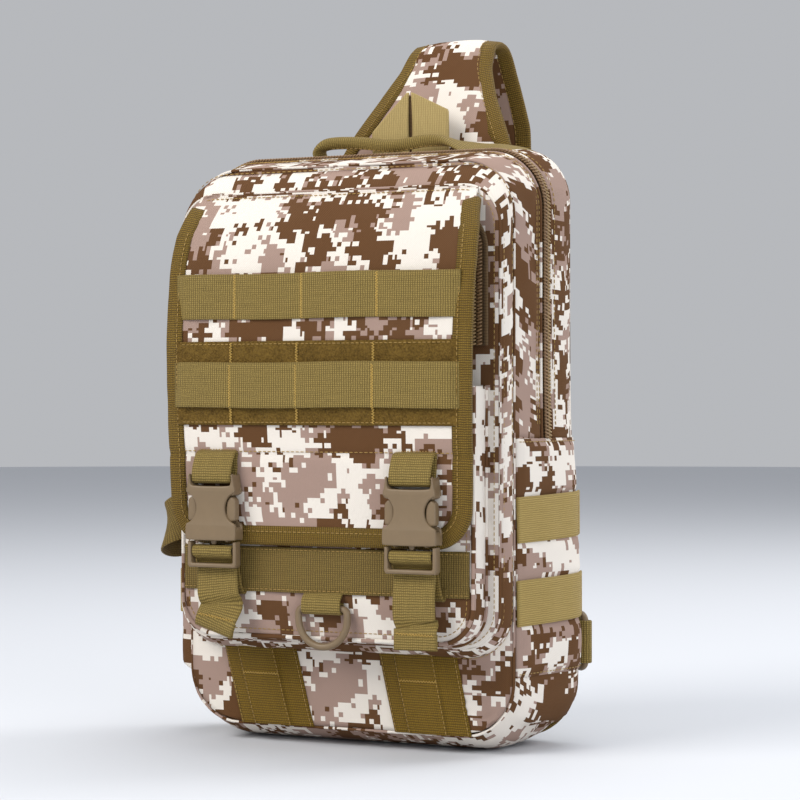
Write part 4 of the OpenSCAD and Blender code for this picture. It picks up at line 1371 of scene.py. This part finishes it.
def build_sides():
    # lower side panel on the right: a second layer of cloth over the gusset
    ys, zs = np.linspace(-33.5, 33.5, 36), np.linspace(SIDE_LO[2], SIDE_HI[2], 70)
    gy, gz = np.meshgrid(ys, zs)
    edge = np.minimum(limit((33.5 - np.abs(gy)) / 5),
                      limit(np.minimum(gz - SIDE_LO[2], SIDE_HI[2] - gz) / 5))
    crease = 0.9 * hump(gy + 26 + (gz - 60) * 0.10, 3.0) * limit((105 - gz) / 40)
    press = 1 - 0.95 * sum(hump(gz - row - 1.0, 14.5, 8) for row in (83.0, 128.0))
    lift = 0.5 + (1.6 * ease(edge) + (ripple(stack(0, gy, gz), 24, 1.5, 2.0) + 0.3) * edge + crease) * press
    outer = stack(side_x(gy, gz) + lift, gy, gz)
    inner = stack(side_x(gy, gz) - 0.6, gy, gz)
    shelled(("side_panel_cloth", "camo_c", "bag", "side_panel_right"), outer, inner, stack(gy, gz))
    stitches(("side_panel_stitches", "thread", "bag"), *[(side_path(1, z, -33, 33, 1.5), 3.0, 2.1, 0.27)
                                                         for z in (SIDE_HI[2] - 1.8, SIDE_LO[2] + 1.8)])

    for node, sign, z in (
        ("side_webbing_right", 1, 83.0), ("side_webbing_right", 1, 128.0), ("side_webbing_left", -1, 83.0),
    ):
        path = side_path(1, z, -34.6, 34.4, 1.5, tilt=0.03, rise=0.6) if sign > 0 else pouch_path(z, 0.6)
        name = node + ("_upper" if z > 100 else "_lower")
        strap((name + "_strip", "web_side", "bag", node if z < 100 else ()), path, UP)
        tack((name + "_tacks", "thread", "bag"),
             *[([path[at] + (sign * 0.75, 0, dz) for dz in (-11, 11)], BACK, 1.3, 0.85, 0.2)
               for at in ((-6,) if sign > 0 else (4, -5))])


def pouch_path(z, lift=0.0, n=60):
    """Plan outline of the left pouch at a height."""
    a = np.linspace(-1, 1, n)
    y = 30 * np.sin(a * math.pi / 2)
    low = ease((z - SIDE_LO[2] + 9) / 8)
    out = (11.5 * low + 1.0) * (1 - np.abs(a) ** 4.2)
    x = -(side_x(y, z) - 0.8 + out + lift)
    return stack(x, y, z)


def build_pouch():
    low, high = box_mm("side_pocket_left")
    zs = np.concatenate([np.linspace(low[2] - 7, low[2] + 20, 18), np.linspace(low[2] + 20, high[2], 40)[1:]])
    outer, inner = [], []
    for z in zs:
        ring = pouch_path(z)
        calm_ends = np.sin(np.linspace(0, math.pi, len(ring)))
        crinkle = (ripple(ring, 20, 1.3, 7.0) + ripple(ring, 8, 0.4, 2.0)) * calm_ends
        ring = ring + stack(-np.maximum(crinkle, -0.6), 0, 0)
        outer.append(ring)
        inner.append(ring + (1.5, 0, 0))
    outer = np.array(outer)
    uv = stack(outer[..., 1] * 1.15, outer[..., 2])
    shelled(("pouch_cloth", "camo_b", "bag", "side_pocket_left"), outer, inner, uv)
    swept(("pouch_hem", "binding", "bag"), resample(outer[-1] + (0.7, 0, 0), 2), RIGHT,
          flat_profile(3.4, 9, 1.2, 5))

    # slack strap that bulges out over the pouch
    low, high = box_mm("side_loop_left")
    mid = (low[2] + high[2]) / 2
    points = [(-103.4, -20, mid + 10), (-114.5, -24.5, mid + 8), (-124.8, -24, mid + 2),
              (-130.2, -15, mid - 4), (-130.8, 2, mid - 7), (-126.0, 21, mid - 3), (-115, 32, mid - 1),
              (-105.2, 34.4, mid)]
    path = smooth_path(points, 1.8, 3)
    # painted shade: the slack strap takes the darker copy of the webbing
    swept(("side_slack_strap", "web_dark", "bag", "side_loop_left"), path, (0.22, 0, 1),
          flat_profile(WEB_W, WEB_T))


# ---------------------------------------------------------------- rear tabs, ring and lower webbing


def build_rear():
    low, high = box_mm("rear_tabs")
    mid = (low[2] + high[2]) / 2
    ring_x, ring_y = 111.0, 41.0
    for sign, tag in ((1, "right"), (-1, "left")):
        eye = arc(ring_x, ring_y, 2.9, -110, 110, 13)
        plan = [(97.0, 37.9), (104.0, 37.4)] + eye + [(104.0, 42.6), (97.0, 42.2)]
        path = smooth_path([(sign * px, py, mid) for px, py in plan], 1.0, 2)
        replaced = "rear_tabs" if sign > 0 else ()
        strap(("rear_tab_" + tag, "web", "bag", replaced), path, UP, WEB_W - 1, step=0.9)
        tack(("rear_tab_tack_" + tag, "thread", "bag"),
             *[([(sign * 105.5, y, mid + dz) for dz in (-10, 10)], RIGHT, 1.5, 0.85, 0.24)
               for y in (36.5, 43.5)])

    low, high = box_mm("strap_lower_ring")
    z0, z1, far_bar = low[2] + 2, high[2] - 2, np.array((100.0, 50.5))
    near_bar = np.array((ring_x, ring_y))
    k = 3.5
    loop = []
    for a, b, za, zb in ((near_bar, near_bar, z0 + k, z1 - k), (near_bar, far_bar, z1, z1),
                         (far_bar, far_bar, z1 - k, z0 + k), (far_bar, near_bar, z0, z0)):
        d = (b - a) * 0.25
        loop += [(*(a + d), za), (*(b - d), zb)]
    across = unit(np.array((*(far_bar - near_bar)[::-1], 0.0)) * (-1, 1, 1))
    swept(("lower_ring_wire", "plastic", "lower_ring", "strap_lower_ring"), rounded(loop, 3, 1.2), across,
          round_profile(2.0, 12), closed=True)


STRAP_X, STRAP_T = 20.0, 8.0


def strap_line():
    """Centre line of the strap pad in the (Y, Z) plane, from the seam over the fold to its lower end."""
    points = [(41, BODY_H + 2.0), (43, BODY_H + 10), (46.5, BODY_H + 20), (55.5, BODY_H + 40),
              (66.5, BODY_H + 62), (72.0, BODY_H + 70)]
    points += [(80.0, BODY_H + 72), (87.0, BODY_H + 70), (91.5, BODY_H + 62), (96.5, BODY_H + 44)]
    points += [(101, 350), (103, 322), (102.5, 290), (100, 250), (95, 215), (90, 186)]
    return smooth_path(points, 3.0, 3)


def strap_half(run, top):
    """Half width along the strap: wide at its seam, narrow from the fold on."""
    apex = top - 6.0
    half = np.interp(run, (0, apex * 0.24, apex * 0.51, apex * 0.78, apex, apex + 30, apex + 62, apex + 110),
                     (57.5, 48.6, 38.3, 29.8, 27.2, 29.0, 32.5, 30.0))
    end = limit((run[-1] - run) / 26.0)
    return np.where(end < 1, 17.0 + 13.0 * np.sin(end * math.pi / 2), half)


def strap_x(run, apex):
    """Middle of the strap: it leaves its seam off centre and swings to the line of its lower end."""
    return np.interp(run, (0, apex * 0.5, apex, apex + 60, apex + 110), (10.5, 11.5, 14.5, 18.5, STRAP_X))


def build_strap():
    path = strap_line()
    run = lengths(path)
    apex = run[int(np.argmax(path[:, 1]))]
    half, middle = strap_half(run, apex), strap_x(run, apex)
    tangent = tangents(path)
    normal = stack(tangent[:, 1], -tangent[:, 0])
    if normal[len(path) // 2, 1] < 0:
        normal = -normal
    spread = np.sin(np.linspace(-1, 1, 34) * math.pi / 2)
    outer, inner, uv = [], [], []
    for k, (p, n, h) in enumerate(zip(path, normal, half)):
        x = middle[k] + spread * (h - 2.5)
        crown = STRAP_T / 2 * (1 - np.abs(spread) ** 4.0) * 0.92 + 0.5
        squeeze = min(1.0, 0.35 + run[k] / 18)
        top, low = (stack(x, p[0] + side * n[0] * crown * squeeze, p[1] + side * n[1] * crown * squeeze)
                    for side in (1, -1))
        bump = (ripple(top, 30, 1.5, 4.0) + ripple(top, 12, 0.5, 8.0)) * (1 - np.abs(spread) ** 4)
        top[:, 1:] += n * bump[:, None]
        outer.append(top)
        inner.append(low)
        uv.append(stack(x, run[k]))
    pad = shelled(("strap_pad_cloth", "camo", "sling_strap", "sling_strap_pad"), outer, inner, uv)
    threads = Soup()
    n3 = stack(0, normal[:, 0], normal[:, 1])
    for s, tag in ((-1, "left"), (1, "right")):
        edge = stack(middle + s * (half - 1.5), path[:, 0], path[:, 1])
        w = 9.5
        c_shape = [(w, 2.9), (5, 2.7), (0, 2.0), (-1.2, 1.0), (-1.4, 0), (-1.2, -1.0), (0, -2.0),
                   (5, -2.7), (w, -2.9), (w, -2.1), (0.6, -1.1), (0.6, 1.1), (w, 2.1)]
        replaced = "sling_strap_binding" if s < 0 else ()
        swept(("strap_edge_" + tag, "binding", "sling_strap", replaced), edge, (-s, 0, 0), c_shape,
              scale=limit(0.55 + run / 40))
        for up in (-1, 1):
            line = stack(middle + s * (half - 1.5 - 6.8), path[:, 0], path[:, 1]) + n3 * up * 3.05
            stitch_line(threads, line[3:-2], 3.4, 2.3, 0.24)
    threads.make("strap_edge_stitches", "thread", "sling_strap")
    # sewn end of the pad: a webbing patch that holds the lower webbing
    end, tan_end = path[-1], tangent[-1]
    base = np.array((STRAP_X, end[0], end[1]))
    n_end = n3[-1]
    down = np.array((0, *tan_end))
    patch = [base - down * 24 + n_end * 4.6, base - down * 6 + n_end * 4.8,
             base + np.array((0.5, *(tan_end * 2))) + n_end * 2.2,
             base + np.array((3.0, *(tan_end * 8))) + n_end * 0.2]
    # painted shade: the patch takes the darker copy of the webbing
    strap(("strap_end_patch", "web_dark", "sling_strap"), smooth_path(patch, 1.4, 2), (1, 0, 0.1), WEB_W, 1.4)
    spots = [base - down * k + n_end * 5.5 for k in (8, 21)]
    tack(("strap_end_tacks", "thread", "sling_strap"),
         *[([spot + (dx, 0, 0) for dx in (-11, 11)], UP, 1.4, 0.85, 0.24) for spot in spots])


def build_lower_sling():
    """Webbing from the strap's end to the ring on the right rear tab, and its three-bar slide."""
    start, end = np.array((STRAP_X, 88.0, 177.0)), np.array((96.0, 54.0, 72.0))
    run = unit(end - start)
    points = [start + run * (-3), start + run * 30, start + run * 62, start + run * 92, (88, 57.6, 68),
              (96.5, 53.4, 59.5), (100.5, 50.0, 57.4)]
    flat = np.cross(run, BACK)
    path = smooth_path(points, 2.0, 3)
    share = shares(path)
    turn = ease((share - 0.6) / 0.4)[:, None]
    across = unit(flat[None] * np.sign(flat[2]) * (1 - turn) + np.array((0.25, 0.12, 1.0))[None] * turn)
    soup = Soup()
    sweep(soup, path, across, flat_profile(WEB_W, 1.4))
    # the end turns round the ring's bar and is sewn to itself
    eye = [(x, y, 57) for x, y in arc(100, 50.5, 3.0, -60, 150, 12)]
    back = [(94.0, 56.2, 58.5), (86, 60.4, 64)]
    sweep(soup, smooth_path(eye + back, 1.2, 2), (0.2, 0.1, 1), flat_profile(WEB_W - 0.5, 1.3))
    piece = soup.make("sling_lower_webbing", "web", "", "sling_webbing")
    a, b = end * MM, (start + run * 78) * MM
    tuple(a)
    tuple(b)
    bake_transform(piece)

    at = start + run * 40
    m = np.array([run, unit(np.cross(run, flat)), flat])
    loops = [rounded(box_loop(10, -16, 16), 2, 0.8), slot(-7.6, -2.6, -13.1, 13.1, 1.2),
             slot(2.4, 7.6, -13.1, 13.1, 1.2)]
    piece = plate("slide_frame", loops, -2.6, 2.6, 1.0, "plastic", "adjuster", "strap_adjuster")
    co = np.empty(len(piece.data.vertices) * 3)
    piece.data.vertices.foreach_get("co", co)
    co = co.reshape(-1, 3) / MM
    co = at + co[:, :1] * m[0] + co[:, 1:2] * m[1] + co[:, 2:] * m[2]
    piece.data.vertices.foreach_set("co", (co * MM).ravel())
    piece.data.update()
    over = ((-14, 1.6), (-9, 2.2), (-5, 2.9), (-1.5, 3.6), (1.5, 3.6), (5, 2.9), (9, 2.2), (14, 1.6))
    path = smooth_path([at + run * k + m[1] * h for k, h in over], 1.2, 2)
    swept(("slide_webbing", "web", "adjuster"), path, flat, flat_profile(WEB_W, 1.4))


# ---------------------------------------------------------------- top: handle, hang loop, seam


def build_top():
    y = 20.0
    points = [(-46.5, y, 333.0), (-48.5, y, 337.5), (-45, y, 341.4), (-35, y - 0.5, 342.2),
              (-16, y - 1.5, 341.0), (-3, y - 2, 338.6), (8, y - 2, 338.8), (21, y - 1.5, 341.0),
              (32, y - 0.5, 340.6), (42, y, 337.6), (51, y, 335.4), (62, y - 0.4, 334.6),
              (72, y - 0.8, 334.2), (80, y - 1.4, 333.0), (88, y - 2.0, 329.4)]
    path = smooth_path(points, 1.5, 3)
    share = shares(path)
    # a roll of webbing in the middle that opens flat towards both sewn ends
    flatten = np.maximum(ease((0.08 - share) / 0.08), ease((share - 0.56) / 0.16))
    angles = np.linspace(0, 2 * math.pi, 22, endpoint=False)
    points, uv = [], []
    along = tangents(path)
    for p, d, f, s in zip(path, along, flatten, lengths(path)):
        tilt = math.radians(20) * f * float(1 - 0.4 * ease((p[0] - 62) / 16)) * (p[0] > 0)
        side = np.array((0.0, math.cos(tilt), math.sin(tilt)))
        up = unit(np.cross(d, side))
        wide, high_r = 3.7 + 6.0 * f, 3.5 * (1 - f) + 0.9 * f
        lap = 1 + 0.10 * (1 - f) * hump(angles - 4.4, 0.35)
        points.append(p + side * (np.cos(angles) * wide * lap)[:, None]
                      + up * (np.sin(angles) * high_r * lap)[:, None])
        uv.append(stack(s, angles * 4.7))
    soup = Soup()
    soup.grid(np.array(points), np.array(uv), wrap_v=True)
    soup.cap(points[0][::-1], np.array(uv[0]))
    soup.cap(points[-1], np.array(uv[-1]))
    roll = soup.make("handle_roll", "web", "", "grab_handle")
    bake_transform(roll)
    seam = np.array(points)[:, 15] + (0, -0.15, 0.1)
    seam = seam[(seam[:, 0] > -40) & (seam[:, 0] < 34)]
    stitches(("handle_stitches", "thread", "handle"), (seam, 3.0, 2.1, 0.24))

    # hang loop: one webbing folded to a point, both legs side by side
    low, high = box_mm("hang_loop")
    y_mid, z0, peak = (low[1] + high[1]) / 2, 331.5, high[2] - 1.0
    for s, tag in ((-1, "left"), (1, "right")):
        rows, inner, uv = [], [], []
        for k in np.linspace(0, 1, 30):
            z_out = z0 + (peak - z0) * k
            edge_in = 6.5 + s * (0.9 + 0.5 * math.sin(math.pi * k))
            reach = abs(6.5 + s * 24.5 - edge_in)
            width = min(reach, (peak - z_out) * (1.02 if s < 0 else 2.05) + 0.8)
            xs = edge_in + s * np.linspace(0, 1, 14) * width
            lean = 2.2 * k * k + 1.2 * math.sin(math.pi * k) * np.linspace(0, 1, 14)
            row = stack(xs, y_mid - 0.9 - lean * 0.6, z_out)
            rows.append(row)
            inner.append(row + (0, 1.5, 0))
            uv.append(stack(z_out, xs))
        replaced = "hang_loop" if s < 0 else ()
        shelled(("hang_loop_leg_" + tag, "web_pale", "hang_loop", replaced), rows, inner, uv)
    # the turned fold behind, painted in the dark zipper-tape colour: painted shade in the gap between the
    # legs
    back = [(6.5, y_mid + 1.4, z0 + 1), (6.5, y_mid + 1.2, (z0 + peak) / 2), (6.5, y_mid - 0.2, peak - 1.5)]
    strap(("hang_loop_fold", "tape", "hang_loop"), back, RIGHT, 7.0, 1.0)

    # reinforced seam under the strap
    low, high = box_mm("strap_anchor")
    mid = (low[2] + high[2]) / 2
    xs = np.linspace(low[0], high[0], 40)
    path = stack(xs, Y_BACK + 3.6, mid + 3)
    strap(("strap_seam_tape", "binding", "bag", "strap_anchor"), path, UP, 12, 2.0)
    stitches(("strap_seam_stitches", "thread", "bag"), *[(path + (0, 1.2, dz), *SEAM) for dz in (-2.5, 2.5)])


# ---------------------------------------------------------------- CAD pieces that stay


def keep_cad(node, paint):
    """Gives a CAD piece that stays visible its finished material."""
    piece = bpy.data.objects[node]
    if not piece.material_slots:
        piece.data.materials.append(None)
    for entry in piece.material_slots:
        entry.material = PAINTS[paint][1]


def build_kept_cad():
    for node in ("main_zipper_slider", "organiser_zipper_slider", "main_zipper_pull",
                 "organiser_zipper_pull"):
        keep_cad(node, "metal")
    keep_cad("inner_sleeve", "tape")
    low, high = box_mm("base_board")
    board = [(low[0] + 14, low[1] + 16), (high[0] - 14, low[1] + 16),
             (high[0] - 14, high[1] - 8), (low[0] + 14, high[1] - 8)]
    points = rounded(board, 3, 3.0)
    soup = Soup()
    for z, order in ((low[2] + 1.6, -1), (high[2] + 0.8, 1)):
        ring = stack(points[:, 0], points[:, 1], z)[::order]
        soup.cap(ring, ring[:, :2])
    wall = np.stack([stack(points[:, 0], points[:, 1], z) for z in (low[2] + 1.6, high[2] + 0.8)], 1)
    soup.grid(wall, stack(wall[..., 0] + wall[..., 1], wall[..., 2]), wrap_u=True)
    soup.make("bottom_stiffener", "tape", "bag", "base_board")
    for name, node, body, axis in (
        ("main_pull_cord", "main_zipper_pull", "main_pull", 0),
        ("organiser_pull_cord", "organiser_zipper_pull", "organiser_pull", 1),
    ):
        low, high = box_mm(node)
        mid = (low + high) / 2
        hole = np.array((mid[0], mid[1], low[2] + 4.0))
        out = np.zeros(3)
        out[axis] = -1.0
        wide = np.array((0.0, 1.0, 0.0)) if axis == 0 else np.array((1.0, 0.0, 0.0))
        loop = [hole + out * 1.3, hole + (0, 0, -3) + out * 1.6, hole + (0, 0, -7) + out * 1.0 + wide * 0.8,
                hole + (0, 0, -9.5) + wide * 0.2, hole + (0, 0, -7) - out * 0.4 - wide * 0.8,
                hole + (0, 0, -3) - out * 1.2, hole - out * 1.2]
        swept((name, "web", body), smooth_path(loop, 0.8, 2, closed=True)[:-1], wide, round_profile(0.8, 8),
              closed=True)


# ---------------------------------------------------------------- run

set_stage()
build_main_compartment()
build_back()
build_main_zipper()
build_organiser()
build_pocket()
build_d_ring()
build_flap()
for buckle_side, buckle_x in BUCKLES:
    build_buckle(buckle_side, buckle_x)
build_tails()
build_lower_webbing()
build_sides()
build_pouch()
build_rear()
build_strap()
build_lower_sling()
build_top()
build_kept_cad()
